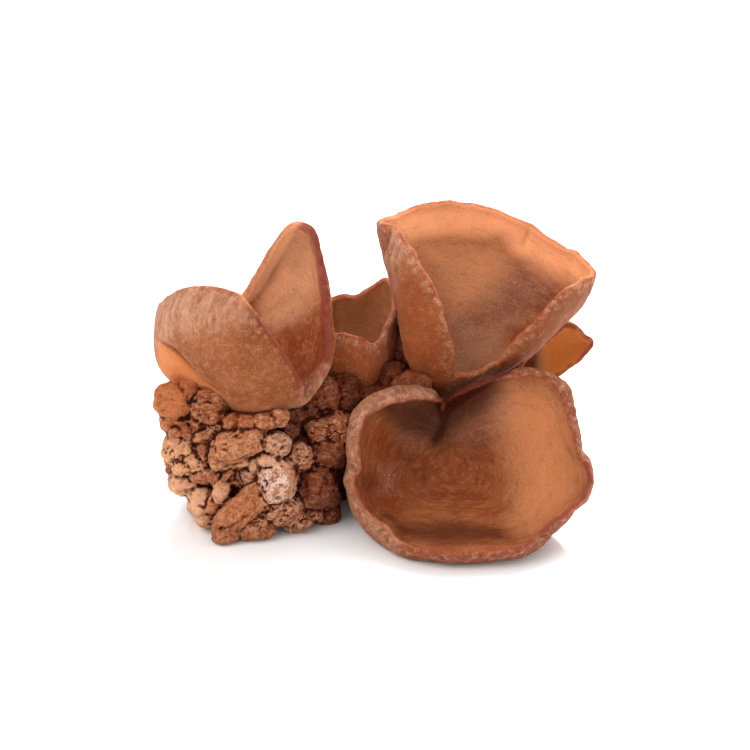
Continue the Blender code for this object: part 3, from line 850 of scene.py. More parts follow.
def left_ear():
    """The folded cup at the left: a low near flap and a far flap that rises to a point."""
    ribs = [
        ((-20, -11, 36), (-3, 0, -3)),
        ((-21, -13, 41.5), (-5, -2, -5)),
        ((-24, -16, 49), (-6, -4, -6)),
        ((-27.5, -19, 56.5), (-7, -6, -8)),
        ((-31.5, -21, 63.5), (-8, -7, -9)),
        ((-34, -22, 68), (-9, -7, -9)),
        ((-36, -21.5, 70.5), (-9, -7, -9)),
        ((-40, -20, 71.5), (-10, -7, -9)),
        ((-44, -18, 71), (-11, -6, -9)),
        ((-48, -15, 70), (-12, -5, -10)),
        ((-52, -11, 67.5), (-12, -3, -20)),
        ((-56, -6, 63.5), (-12, 1, -31)),
        ((-58.5, 1, 58.5), (-9, 3, -32)),
        ((-56, 8, 55), (-6, 8, -25)),
        ((-48, 11, 53.5), (-4, 9, -16)),
        ((-39, 12, 56), (-1, 9, -14)),
        ((-36, 13, 58), (-1, 9, -15)),
        ((-33.3, 13, 62.5), (0, 9, -16)),
        ((-30.5, 12.5, 68), (0, 9, -17)),
        ((-27.3, 12, 73.5), (0, 9, -18)),
        ((-24.5, 11, 77.5), (0, 9, -18)),
        ((-21, 10.5, 79), (1, 8, -18)),
        ((-18, 9.5, 78), (3, 7, -17)),
        ((-16.5, 8, 74), (4, 6, -16)),
        ((-15.2, 6, 70), (4, 5, -15)),
        ((-14.2, 3, 64.5), (4, 4, -13)),
        ((-14, 1, 59), (4, 4, -11)),
        ((-13.4, -1, 54), (4, 3, -10)),
        ((-13, -3, 50), (3, 3, -9)),
        ((-13.5, -5, 46), (2, 2, -8)),
        ((-15, -7, 42.5), (0, 1, -6)),
        ((-17.5, -9, 38.5), (-1, 0, -4)),
    ]
    undercut = [(160, 337), (178, 351), (192, 366), (207, 380), (222, 388), (229, 396)]
    wrinkles = [
        [(176, 296), (172, 305), (168, 315)],
        [(184, 292), (180, 302), (176, 312)],
        [(193, 289), (188, 301), (183, 314)],
        [(201, 287), (196, 298), (190, 310)],
        [(208, 288), (204, 298), (199, 306)],
    ]
    far_folds = [[(305, 240), (297, 270), (295, 290)], [(283, 262), (273, 274), (262, 285)]]
    light_curve = [(265, 312), (290, 305), (310, 295)]
    spout_folds = [
        [(322, 366), (312, 372), (303, 380), (298, 388)],
        [(330, 370), (318, 385), (306, 398)],
    ]
    flap_edge = [(229, 408), (242, 411), (256, 411), (270, 410), (284, 408)]
    sunlit = [(150, 300), (190, 284), (240, 292), (250, 318), (225, 330), (175, 335), (156, 345)]
    lower_left = [(156, 336), (176, 352), (192, 368), (206, 382), (224, 398), (190, 402), (160, 382)]
    far_light = [(300, 222), (322, 240), (326, 290), (305, 308), (275, 326), (256, 306), (282, 250)]
    light_band = [(262, 318), (290, 312), (318, 292), (322, 302), (300, 320), (270, 334)]
    far_dark = [(276, 338), (330, 318), (332, 360), (318, 380), (303, 392), (290, 366)]
    stalk = [(222, 411), (256, 413), (290, 411), (288, 432), (224, 432)]
    stalk_right = [(262, 409), (300, 400), (292, 432), (258, 430)]
    far_left_edge = [(256, 326), (286, 262), (298, 232), (306, 230), (292, 280), (270, 324)]
    far_left_rim = [(236, 300), (292, 214), (302, 222), (262, 290), (246, 306)]
    near_top_rim = [(140, 330), (150, 280), (200, 272), (250, 284), (262, 316), (245, 312), (200, 296)]
    spout = [(300, 384), (322, 362), (336, 366), (330, 388), (312, 408), (298, 404)]
    # Painted light and shade here: the sheen of the sunlit flap, the light on the far flap, its light
    # band,
    # its left edge and rim, the glow low at the left, and the shade on the stalk
    marks = dict(
        band_regions=[(4, 0.15, far_left_rim), (5, 0.3, near_top_rim), (4, 0.3, spout)],
        creases=[(undercut, 1.8, 1.3), (light_curve, 2.2, -0.7)]
        + [(line, 0.8, 0.22) for line in wrinkles]
        + [(line, 2.5, 0.7) for line in far_folds]
        + [(line, 0.9, 0.7) for line in spout_folds]
        + [(flap_edge, 1.0, 0.9)],
        pale_and_highlight=[("outside", 14, 0.75, sunlit), ("outside", 3, 0.5, spout), ("inside", 3, 1.0, spout),
                ("outside", 3, 0.7, far_left_rim), ("inside", 4, 0.9, far_left_rim),
                ("inside", 12, 0.9, far_light), ("inside", 6, 0.9, light_band),
                ("outside", 5, 0.35, stalk_right)],
        glow=[("outside", 5, 0.65, lower_left), ("inside", 14, 0.4, far_light),
              ("both", 4, 0.6, far_left_rim), ("inside", 5, 0.35, far_left_edge)],
        warm=[("inside", 12, 0.9, far_dark), ("outside", 5, 0.9, stalk)],
        deep_shade=[("outside", 5, 0.35, stalk)],
    )
    return dict(
        ribs=ribs, around=400, along=80, throat=0.6, floor_rounds=40,
        foot=(-32.5, -11, 32), axis=(0, 0, 1), stalk_radius=6.5, rise=9, flare=0.06,
        evenness=0, rim_thickness=2.6, waves=0.8, streaks=0.06, veins=0.06, grain=1.0, seed=40,
        knobs=0.08, evening=2.5, cup_evening=3.0, band=(1.9, 1.4), band_strength=0.95,
        **marks,
    )


def middle_ear():
    """The small cup behind, between the left and the tall ear."""
    ribs = [
        ((-13, 6, 48.5), (-2, -5, -9)),
        ((-8.5, 5, 48.5), (-1, -5, -11)),
        ((-4, 5, 47), (0, -5, -12)),
        ((0, 6, 45), (1, -4, -11)),
        ((3, 8, 49), (2, -1, -9)),
        ((5, 12, 52.5), (1, 2, -9)),
        ((5.5, 18, 54), (1, 4, -10)),
        ((4.8, 24, 56), (1, 5, -11)),
        ((2.5, 28, 56), (0, 6, -11)),
        ((-2, 30, 52), (0, 6, -11)),
        ((-6, 30, 50), (0, 6, -11)),
        ((-9.5, 29, 50.5), (-1, 6, -11)),
        ((-13, 28, 49.5), (-3, 6, -10)),
        ((-15.5, 23, 50), (-5, 3, -9)),
        ((-16, 15, 49.5), (-5, -1, -8)),
    ]
    crest = [
        (334, 334), (362, 342), (374, 346), (387, 328), (394, 310), (396, 314), (389, 332),
        (375, 349), (334, 338),
    ]
    low_wall = [(330, 336), (396, 318), (396, 366), (366, 388), (328, 390)]
    right_wall = [(378, 336), (400, 318), (400, 372), (376, 380)]
    hollow = [(330, 300), (384, 284), (394, 312), (374, 346), (334, 336)]
    shadow = [(343, 320), (368, 300), (386, 298), (382, 322), (368, 340), (350, 336)]
    # Painted light and shade here: the highlight along the crest, the glow and shade in the hollow,
    # and the shade in its shadow and on the right wall
    marks = dict(
        deep_shade=[("inside", 7, 0.25, shadow)],
        warm=[("outside", 8, 0.75, low_wall), ("inside", 8, 0.6, hollow)],
        dusk=[("inside", 10, 0.75, hollow), ("outside", 8, 0.5, right_wall)],
        glow=[("inside", 10, 0.3, hollow)],
        pale_and_highlight=[("outside", 2.5, 0.5, crest), ("inside", 8, 0.7, hollow)],
    )
    return dict(
        ribs=ribs, around=260, along=48, throat=0.8, floor_rounds=20,
        foot=(-6.5, 16, 26), axis=(0, 0, 1), stalk_radius=4.0, rise=5, flare=0.3,
        evenness=1, rim_thickness=1.8, waves=0.8, streaks=0.14, veins=0.10, grain=0.8, seed=60,
        knobs=0.1, evening=1.5, cup_evening=2.5, band=(0.6, 0.9), band_strength=0.3,
        **marks,
    )


def rear_ear():
    """The small ear that shows behind the tall one, at the right."""
    ribs = [
        ((42, 22, 30), (-6, 3, -3)),
        ((45.5, 22, 35.5), (-6, 6, -1)),
        ((50, 21.5, 40), (-4, 8, 0)),
        ((54, 21, 43.5), (-3, 9, 0)),
        ((56, 20.5, 45), (-2, 9, 0)),
        ((58, 20, 44), (-1, 9, -1)),
        ((60, 20, 41.5), (0, 9, -1)),
        ((62, 20, 40.5), (0, 9, -2)),
        ((62, 20.5, 38.5), (0, 9, -2)),
        ((59.5, 20.5, 35.5), (-1, 9, -3)),
        ((57, 20, 33), (-2, 9, -4)),
        ((52.5, 20, 29.5), (-3, 8, -4)),
        ((46.5, 20.5, 26.5), (-5, 5, -4)),
    ]
    all_over = [(540, 310), (610, 310), (610, 390), (540, 390)]
    tip = [(578, 344), (600, 338), (600, 352), (580, 360)]
    # Painted light and shade here: the glow all over the inside, and the shade at the tip
    marks = dict(
        band_regions=[(4, 0.9, tip)],
        glow=[("inside", 8, 0.9, all_over)],
        warm=[("inside", 10, 0.85, all_over)],
        dusk=[("inside", 4, 0.6, tip)],
    )
    return dict(
        ribs=ribs, around=240, along=56, throat=0.6, floor_rounds=20,
        foot=(29, 26, 18), axis=(0.6, -0.5, 0.6), stalk_radius=3.5, rise=5, flare=0.2,
        evenness=1, rim_thickness=1.9, waves=0.8, streaks=0.12, veins=0.08, grain=1.0, seed=80,
        knobs=0.1, evening=1.5, cup_evening=2.5, band=(1.0, 1.2), band_strength=0.35,
        **marks,
    )


# The knot: how its lumps swell and are fused
KNOT_VOXEL = 0.49
FUSE_ROUNDS = 30
FUSE_SHARE = 0.85
FUSE_DEPTH = 0.3
LUMP_SQUARENESS = 2.5
LUMP_GROWTH = (1.05, 1.25, 1.05)
LUMP_SWELLS = ((0.15, 1.0 / 1.4, 0),)
LUMP_DENTS = ((0.07, 0.35, 0),)
SWELL_STEP = 1.4

# Where lumps meet: how wide a crevice is, where it breaks off, and how their kinds blend
CREVICE_WIDTH = 0.35
CREVICE_DEPTH = 0.4
CREVICE_NOISE = ((1.0, 3.0, 12),)
CREVICE_BREAKS = (-0.5, 0.35)
KIND_BLEND = 0.6

# Patterns of the skin wander a bit, and each lump has its own part of them
WANDER = 1.2
WANDER_SIZE = 5.0
WANDER_SEEDS = (90, 91, 92)
ALONG_WANDER = 0.5
LUMP_PATTERN_STEP = 9.0

# Relief of the skin: heights, and levels below which a wrinkle sinks and a fold or pit rises
WRINKLES = ((0.6, (1.0, 1.0, 1.5), 2.6, 1), (0.4, (1.0, 1.0, 1.0), 1.4, 2))
WRINKLE_HEIGHT = 0.85
WRINKLE_LEVEL = 0.4
FOLDS = ((0.6, (0.35, 1.0, 1.0), 2.2, 3), (0.4, (0.35, 1.0, 1.0), 1.1, 8))
FOLD_DEPTH = 0.8
FOLD_LEVEL = 0.3
PLATE_SIZE = 3.6
PLATE_SEED = 4
CRACK_WIDTH = 0.09
PIT_SIZE = 1.6
PIT_SEED = 5
PIT_EDGE = (0.1, 0.45)
PIT_LEVEL = 0.3
KNOT_SWELLS = ((0.45, 5.0, 13), (0.3, 2.6, 6), (0.2, 1.1, 7))

# Patches of the skin are rough and others smooth
ROUGH_NOISE = ((1.0, 4.5, 15),)
ROUGH_EDGE = (-0.35, 0.35)
LEAST_ROUGH = 0.45
ROUGH_GAIN = 0.9

# What the knot's material reads: how dark the painted shade in hollows gets, how pale crests, where the
# bloom lies
FINE_ROUNDS = 2
BROAD_ROUNDS = 27
FINE_HOLLOW = 1.8
BROAD_HOLLOW = 2.7
CREVICE_HOLLOW = 0.15
CRACK_HOLLOW = 0.3
CREST_GAIN = 5.0
BLOOM_NOISE = ((1.0, 5.0, 14),)
BLOOM_EDGE = (-0.6, 0.1)
QUALITIES = ("wrinkle", "folds", "crack", "pit", "pale", "bloom")

# What a lump's skin is like: its colour, relief in millimetres, and shares of pale flecks
# The darker tints, of dark, core, velvet, ember, brown and pitted lumps, are partly painted shade
# for lumps that lie in shadow: in hollows, at the right of the knot and between the ears
KINDS = {
    "bud": dict(tint=(184, 104, 56), wrinkle=0.1, folds=0.08, pale=0.25),
    "slab": dict(tint=(232, 174, 136), wrinkle=0.25, folds=0.2, pit=0.05, pale=0.3),
    "long": dict(tint=(168, 92, 50), wrinkle=0.25, folds=0.4, pit=0.1, pale=0.6),
    "wrinkled": dict(tint=(142, 70, 30), wrinkle=0.75, folds=0.4, crack=0.1, pit=0.1, pale=0.6),
    "plates": dict(tint=(230, 166, 122), wrinkle=0.3, folds=0.15, crack=0.4, pit=0.1, pale=0.5),
    "oval": dict(tint=(166, 96, 54), wrinkle=0.3, folds=0.65, pit=0.1, pale=0.8),
    "pitted": dict(tint=(106, 46, 16), wrinkle=0.8, crack=0.2, pit=0.5, pale=0.45),
    "bloom": dict(tint=(176, 112, 74), wrinkle=0.35, folds=0.3, pit=0.3, pale=0.7, bloom=1.0),
    "frosty": dict(tint=(146, 88, 56), wrinkle=0.7, crack=0.1, pit=0.3, pale=1.0, bloom=0.3),
    "speckled": dict(tint=(126, 62, 30), wrinkle=0.7, crack=0.1, pit=0.3, pale=1.0),
    "ember": dict(tint=(82, 25, 5), wrinkle=0.5, folds=0.4, pit=0.3, pale=0.15),
    "fan": dict(tint=(134, 66, 28), wrinkle=0.3, folds=0.5, crack=0.5, pit=0.1, pale=0.5),
    "brown": dict(tint=(104, 40, 10), wrinkle=0.6, folds=0.4, crack=0.1, pit=0.2, pale=0.2),
    "velvet": dict(tint=(112, 48, 16), pale=0.2),
    "glowing": dict(tint=(116, 48, 16), wrinkle=0.5, folds=0.3, pit=0.2, pale=0.2),
    "stalk": dict(tint=(146, 68, 26), wrinkle=0.25, folds=0.1, pit=0.1, pale=0.35),
    "grained": dict(tint=(150, 78, 36), wrinkle=0.35, folds=0.1, pit=0.1, pale=0.9),
    "dark": dict(tint=(70, 22, 5), wrinkle=0.6, folds=0.3, crack=0.2, pit=0.2, pale=0.1),
    "core": dict(tint=(66, 22, 6), wrinkle=0.6, folds=0.2, crack=0.2),
}

# Lumps as the front view shows them: (middle in the photo), place along Y in millimetres,
# (half width, half height) in the photo, half depth in millimetres, tilt in degrees, kind
FRONT_LUMPS = [
    # Translucent buds and their wrinkled neighbours, at the top left
    ((174, 401), -12, (18.5, 19), 4.5, 0, "bud"),
    ((188, 391), -10, (11.5, 12.5), 4.0, 0, "bud"),
    ((176, 420), -11.5, (16, 14), 4.0, 0, "bud"),
    ((182, 431), -13.5, (14, 8), 3.5, 0, "wrinkled"),
    ((210, 407), -12.5, (18, 18), 5.0, 0, "wrinkled"),
    ((201, 424), -13.5, (13, 11), 3.5, 0, "wrinkled"),
    ((219, 427), -14.5, (10, 7), 3.0, 0, "frosty"),
    ((188, 433), -14.5, (9, 7), 3.0, 0, "wrinkled"),
    ((205, 435), -16.0, (12, 7), 3.2, 15, "wrinkled"),
    # Pale cracked plates at the left edge
    ((181, 448), -13.5, (17, 16.5), 5.0, 0, "plates"),
    ((184, 465), -15.0, (12.5, 10), 4.0, 0, "plates"),
    ((197, 464), -17.0, (9.5, 10), 3.0, 0, "plates"),
    ((173, 464), -11.0, (7, 10), 3.5, 0, "pitted"),
    # Broad oval lump under the left ear
    ((239, 444), -19.0, (28, 16.5), 5.5, 20, "oval"),
    ((223, 458), -19.5, (13, 12), 4.2, 20, "oval"),
    ((205, 450), -16.5, (8, 11), 3.2, 0, "wrinkled"),
    # Hollow under it, with a thin curled fold round it
    ((237, 476), -16.5, (18, 13), 3.5, 0, "pitted"),
    ((228, 473), -19.5, (5, 10), 2.2, -25, "long"),
    ((242, 463), -20.0, (11, 4.5), 2.2, 12, "slab"),
    ((255, 464), -20.0, (6, 8), 2.5, 0, "slab"),
    ((251, 476), -19.5, (8.5, 9), 2.6, 0, "frosty"),
    # Long lump that leans over at the bottom left, and its neighbours
    ((241, 509), -24.0, (32, 14), 4.2, 42, "long"),
    ((225, 530), -25.0, (14, 12), 4.2, 0, "wrinkled"),
    ((256, 527), -23.5, (19, 13), 4.0, 12, "wrinkled"),
    ((264, 513), -22.5, (8, 11), 3.0, 0, "speckled"),
    # White lump and the mottled ones below it
    ((278, 479), -20.5, (18.5, 23), 5.5, 0, "bloom"),
    ((268, 461), -21.0, (11, 8), 3.2, -10, "slab"),
    ((281, 508), -21.5, (20, 16), 4.5, 0, "speckled"),
    ((297, 520), -19.0, (15, 11), 4.0, 10, "speckled"),
    # Large dark lump at the right, beside the front ear
    ((318, 487), -14.5, (21, 24), 6.0, 0, "ember"),
    ((315, 483), -17.6, (10, 13), 3.2, 0, "glowing"),
    ((309, 509), -16.5, (17, 13), 4.2, 10, "speckled"),
    ((326, 513), -12.5, (14, 13), 4.0, 0, "brown"),
    # Pitted lumps above the white one
    ((276, 445), -18.0, (14, 12.5), 4.2, 0, "frosty"),
    ((300, 457), -16.0, (12, 13.5), 4.0, 0, "speckled"),
    ((291, 431), -12.0, (8.5, 8), 3.0, 0, "dark"),
    # Cracked lumps farther back, between the ears
    ((328, 453), -10.5, (19, 17), 5.0, 0, "brown"),
    ((320, 431), -9.0, (14, 14), 4.0, 20, "fan"),
    ((337, 431), -7.5, (17, 19), 5.0, 0, "fan"),
    ((293, 415), -7.0, (13, 10), 4.0, 0, "dark"),
    ((312, 408), -4.0, (13, 13), 4.0, 0, "dark"),
    ((322, 396), -2.0, (18, 19), 5.0, 0, "brown"),
    ((345, 396), 1.0, (16, 21), 5.0, 0, "dark"),
    ((372, 396), 4.0, (20, 11), 5.0, 0, "dark"),
    # Smooth pale lumps at the lower left
    ((187, 484), -14.0, (15, 11.5), 4.0, 0, "slab"),
    ((176, 482), -11.0, (8, 9), 3.5, 0, "slab"),
    ((203, 502), -17.0, (15, 16), 4.5, 0, "slab"),
    ((207, 517), -18.5, (11, 9), 4.0, 0, "slab"),
    ((207, 476), -18.0, (15, 7.5), 3.4, 0, "wrinkled"),
    ((222, 491), -20.5, (9, 13), 3.2, -20, "slab"),
    ((212, 504), -21.0, (6, 9), 2.5, 0, "bud"),
    # Rough growth up the left ear's stalk
    ((232, 422), -16.8, (9, 9), 3.4, 10, "stalk"),
    ((247, 423), -18.0, (11, 9), 3.4, 0, "stalk"),
    ((264, 421), -18.0, (11, 9), 3.4, -8, "grained"),
    ((279, 417), -16.6, (10, 9), 3.4, -15, "grained"),
    # Growth between the ears, in dark tints that paint the shade there
    ((401, 352), 14.0, (11, 26), 4.0, 0, "dark"),
    ((403, 382), 4.0, (14, 10), 4.5, 30, "velvet"),
    ((414, 382), 5.0, (18, 12), 4.0, 0, "velvet"),
    ((394, 376), 6.0, (13, 15), 4.0, 0, "core"),
]

# The body under the lumps: middle, half sizes
KNOT_CORE = [
    ((-36, -4, 14), (17, 14, 17)),
    ((-14, 8, 11), (17, 13, 15)),
    ((10, 20, 10), (19, 13, 15)),
    ((-24, -11, 17), (8, 7, 9)),
    ((-50, -8, 26), (5, 6, 9)),
    ((-43, -12, 24), (5, 4, 6)),
    ((-30, -14, 22), (5, 4, 5)),
    ((-47, -10, 14), (5, 6, 8)),
    ((-32, -14, 10), (10, 8, 9)),
    ((-19, -9, 8), (7, 6, 8)),
]

# Lumps spread by a seeded order over some cores: more of them behind, and small ones in gaps
BACK_LUMPS = dict(
    count=90, cores=(0, 1, 2), turns=(0.0, math.pi), share=0.9, radii=(4.0, 6.5), behind=2.0,
    kinds=("plates", "wrinkled", "fan", "slab", "pitted", "long", "frosty", "oval", "speckled"),
    seed=5,
)
FILLER_LUMPS = dict(
    count=50, cores=(0, 3, 4, 5, 6, 7, 8, 9), turns=(-math.pi, 0.0), share=0.95,
    radii=(1.5, 2.6), behind=-25.0, kinds=("brown", "wrinkled", "dark", "brown", "speckled"),
    seed=11,
)
SCATTER_LIFTS = (-0.85, 1.0)
SCATTER_SPREAD = (0.8, 1.15)
LOWEST_LUMP = 1.8

Lump = namedtuple("Lump", "middle half_sizes tilt kind seed")


def seen_lump(middle, place, half_sizes, half_depth, tilt, kind):
    """A lump of the front view, as (middle, half sizes, tilt, kind)."""
    way = photo_direction(middle)
    found = CAMERA_PLACE + way * (place + PLACE[1] - CAMERA_PLACE[1]) / way[1]
    scale = np.dot(found - CAMERA_PLACE, FORWARD) / FOCAL_PIXELS
    half_width, half_height = half_sizes
    sizes = np.array([half_width * scale, half_depth, half_height * scale])
    return found - PLACE, sizes * LUMP_GROWTH, tilt, kind


def scattered_lumps(count, cores, turns, share, radii, kinds, behind, seed):
    """Lumps scattered over some of the cores, all between two turns about the Z axis."""
    chance = random.Random(seed)
    lumps = []
    while len(lumps) < count:
        middle, half_sizes = KNOT_CORE[cores[chance.randrange(len(cores))]]
        turn = chance.uniform(*turns)
        lift = chance.uniform(*SCATTER_LIFTS)
        level = math.sqrt(1.0 - lift * lift)
        way = (math.cos(turn) * level, math.sin(turn) * level, lift)
        place = [middle[k] + share * half_sizes[k] * way[k] for k in range(3)]
        if place[2] < LOWEST_LUMP or place[1] < behind:
            continue
        radius = chance.uniform(*radii)
        sizes = [radius * chance.uniform(*SCATTER_SPREAD) for _ in range(3)]
        lumps.append((place, sizes, 0, kinds[len(lumps) % len(kinds)]))
    return lumps


def all_lumps():
    found = [(middle, sizes, 0, "core") for middle, sizes in KNOT_CORE]
    found += [seen_lump(*lump) for lump in FRONT_LUMPS]
    found += scattered_lumps(**BACK_LUMPS)
    found += scattered_lumps(**FILLER_LUMPS)
    return [Lump(*lump, seed) for seed, lump in enumerate(found)]


def fused(mesh, points, normals):
    """The points, with the gaps between the lumps filled as if they had grown together."""
    around = smoothed(mesh, points, FUSE_ROUNDS)
    depth = np.sum((around - points) * normals, axis=1)
    share = FUSE_SHARE * smooth_step(0.0, FUSE_DEPTH, depth)
    return points + share[:, None] * (around - points)


def lump_turn(tilt):
    """The axes of a lump: along the photo's width, away from the camera, along its height."""
    angle = math.radians(tilt)
    across = math.cos(angle) * SIDEWAYS + math.sin(angle) * UPWARD
    upright = math.cos(angle) * UPWARD - math.sin(angle) * SIDEWAYS
    return np.stack([across, FORWARD, upright], axis=1)


def lump_radius(local):
    """How far points lie from a lump's middle, measured so that its sides are a bit flat."""
    return np.sum(np.abs(local) ** LUMP_SQUARENESS, axis=1) ** (1.0 / LUMP_SQUARENESS)


def joined_lumps(lumps):
    """One ball, copied and shaped for each lump, and all of them joined and fused."""
    deselect_all()
    bpy.ops.mesh.primitive_ico_sphere_add(subdivisions=4, radius=1.0, location=(0, 0, 0))
    ball = bpy.context.object
    ways = vertex_places(ball.data)
    copies = []
    for lump in lumps:
        copy = ball.copy()
        copy.data = ball.data.copy()
        bpy.context.scene.collection.objects.link(copy)
        shift = lump.seed / SWELL_STEP
        swell = 1.0 + relief(ways + (shift, 0, 0), LUMP_SWELLS)
        swell += relief(ways + (0, shift, 0), LUMP_DENTS)
        sized = ways * lump.half_sizes * (swell / lump_radius(ways))[:, None]
        set_vertex_places(copy.data, (sized @ lump_turn(lump.tilt).T + lump.middle + PLACE) * MM)
        copies.append(copy)
    bpy.data.objects.remove(ball)
    deselect_all()
    for copy in copies:
        copy.select_set(True)
    bpy.context.view_layer.objects.active = copies[0]
    bpy.ops.object.join()
    item = bpy.context.object
    item.name = "knot_grown"
    item.data.name = "knot_grown"
    fuse = item.modifiers.new("fuse", "REMESH")
    fuse.mode = "VOXEL"
    fuse.voxel_size = KNOT_VOXEL * MM
    bpy.ops.object.modifier_apply(modifier=fuse.name)
    return item


def lump_gaps(points, lumps):
    """For each point and lump, how far the point lies outside the lump."""
    gaps = np.empty((len(points), len(lumps)))
    for number, lump in enumerate(lumps):
        local = (points - np.array(lump.middle) - PLACE) @ lump_turn(lump.tilt)
        gaps[:, number] = (lump_radius(local / lump.half_sizes) - 1.0) * min(lump.half_sizes)
    return gaps


def along_lumps(points, lumps, nearest):
    """Each point as its own lump's axes measure it: length, depth and height."""
    middles = np.array([lump.middle for lump in lumps]) + PLACE
    turns = np.stack([lump_turn(lump.tilt) for lump in lumps])
    local = np.einsum("ni,nij->nj", points - middles[nearest], turns[nearest])
    return local + LUMP_PATTERN_STEP * nearest[:, None]


def crevices(points, lumps, gaps):
    """Where lumps of two kinds meet, from 0 to 1, in broken lines."""
    kinds = np.array([lump.kind for lump in lumps])
    same_kind = kinds[gaps.argmin(axis=1)][:, None] == kinds
    others = np.where(same_kind, FAR, gaps).min(axis=1)
    found = np.exp(-(others - gaps.min(axis=1)) / CREVICE_WIDTH)
    return found * smooth_step(*CREVICE_BREAKS, relief(points, CREVICE_NOISE))


def blended_kinds(lumps, gaps):
    """Each quality at each point, blended over the lumps beside it, and the tint there."""
    weights = np.exp(-(gaps - gaps.min(axis=1)[:, None]) / KIND_BLEND)
    weights /= weights.sum(axis=1, keepdims=True)
    kinds = [KINDS[lump.kind] for lump in lumps]
    share = {
        quality: weights @ np.array([kind.get(quality, 0.0) for kind in kinds])
        for quality in QUALITIES
    }
    return share, weights @ np.array([colour(*kind["tint"])[:3] for kind in kinds])


def ridge_layers(points, layers):
    """Layers of ridges, each (share, stretch, size, seed), added up."""
    return sum(share * ridges_at(points * stretch, size, seed) for share, stretch, size, seed in layers)


def knot_relief(points, along, wander, share, crack):
    """How far the skin of the knot rises at each point, apart from the crevices."""
    moved = points + wander
    near_pit, _ = cells_at(moved, PIT_SIZE, PIT_SEED)
    pits = 1.0 - smooth_step(*PIT_EDGE, near_pit)
    rough = LEAST_ROUGH + ROUGH_GAIN * smooth_step(*ROUGH_EDGE, relief(points, ROUGH_NOISE))
    lift = WRINKLE_HEIGHT * share["wrinkle"] * rough * (ridge_layers(moved, WRINKLES) - WRINKLE_LEVEL)
    lift -= FOLD_DEPTH * share["folds"] * rough * (ridge_layers(along, FOLDS) - FOLD_LEVEL)
    lift -= share["crack"] * crack + share["pit"] * (pits - PIT_LEVEL)
    return lift + relief(points, KNOT_SWELLS)


def make_knot(skin):
    """The lumpy base: fused lumps with wrinkles, folds, cracks and pits, cut flat below."""
    lumps = all_lumps()
    item = joined_lumps(lumps)
    mesh = item.data
    points = fused(mesh, vertex_places(mesh) / MM, vertex_normals(mesh))
    set_vertex_places(mesh, points * MM)
    gaps = lump_gaps(points, lumps)
    share, tint = blended_kinds(lumps, gaps)
    crevice = crevices(points, lumps, gaps)
    wander = [noise_at(points, WANDER_SIZE, seed) for seed in WANDER_SEEDS]
    wander = WANDER * np.stack(wander, axis=1)
    along = along_lumps(points, lumps, gaps.argmin(axis=1)) + ALONG_WANDER * wander
    near, second = cells_at(points + wander, PLATE_SIZE, PLATE_SEED)
    crack = 1.0 - smooth_step(0.0, CRACK_WIDTH, second - near)
    lift = knot_relief(points, along, wander, share, crack) - CREVICE_DEPTH * crevice
    points = points + lift[:, None] * vertex_normals(mesh)
    points[:, 2] = np.maximum(points[:, 2], 0.0)
    set_vertex_places(mesh, points * MM)

    share["bloom"] *= smooth_step(*BLOOM_EDGE, relief(points, BLOOM_NOISE))
    normals = vertex_normals(mesh)
    # Hollows, crevices and cracks take painted shade, and crests a painted highlight with the pale
    # flecks
    fine = hollowness(mesh, points, normals, FINE_ROUNDS)
    broad = hollowness(mesh, points, normals, BROAD_ROUNDS)
    hollow = FINE_HOLLOW * fine + BROAD_HOLLOW * np.maximum(broad, 0.0)
    hollow += CREVICE_HOLLOW * crevice + CRACK_HOLLOW * share["crack"] * crack
    add_values(
        mesh, hollow=np.clip(hollow, 0.0, 1.0), crest=np.clip(-CREST_GAIN * fine, 0.0, 1.0),
        along=along, tint=tint, pale=share["pale"], bloom=share["bloom"],
    )
    dress(mesh, skin)
    mesh.shade_smooth()
    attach(item, "root")
    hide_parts("knot")
    return item


# Materials

# Sockets of a Mix node for colours, by number
MIX_SHARE = 0
MIX_FIRST = 6
MIX_SECOND = 7
MIX_RESULT = 2
BLACK = (0, 0, 0)


class Reading:
    """A value in a material. Sums on it add Math nodes."""

    def __init__(self, skin, socket):
        self.skin = skin
        self.socket = socket

    def math(self, operation, first, second):
        return self.skin.node("ShaderNodeMath", {0: first, 1: second}, operation=operation)

    def __add__(self, other):
        return self.math("ADD", self, other)

    def __radd__(self, other):
        return self.math("ADD", other, self)

    def __sub__(self, other):
        return self.math("SUBTRACT", self, other)

    def __rsub__(self, other):
        return self.math("SUBTRACT", other, self)

    def __mul__(self, other):
        return self.math("MULTIPLY", self, other)

    def __rmul__(self, other):
        return self.math("MULTIPLY", other, self)

    def __neg__(self):
        return self.math("MULTIPLY", self, -1.0)

    def ramp(self, low, high):
        """0 below low, 1 above high, and a soft step between them."""
        return self.skin.node(
            "ShaderNodeMapRange", {"Value": self, "From Min": low, "From Max": high},
            interpolation_type="SMOOTHSTEP",
        )


def socket_name(word):
    """base_color becomes Base Color, as the shader's sockets are called."""
    return word.replace("_", " ").title().replace("Ior", "IOR")


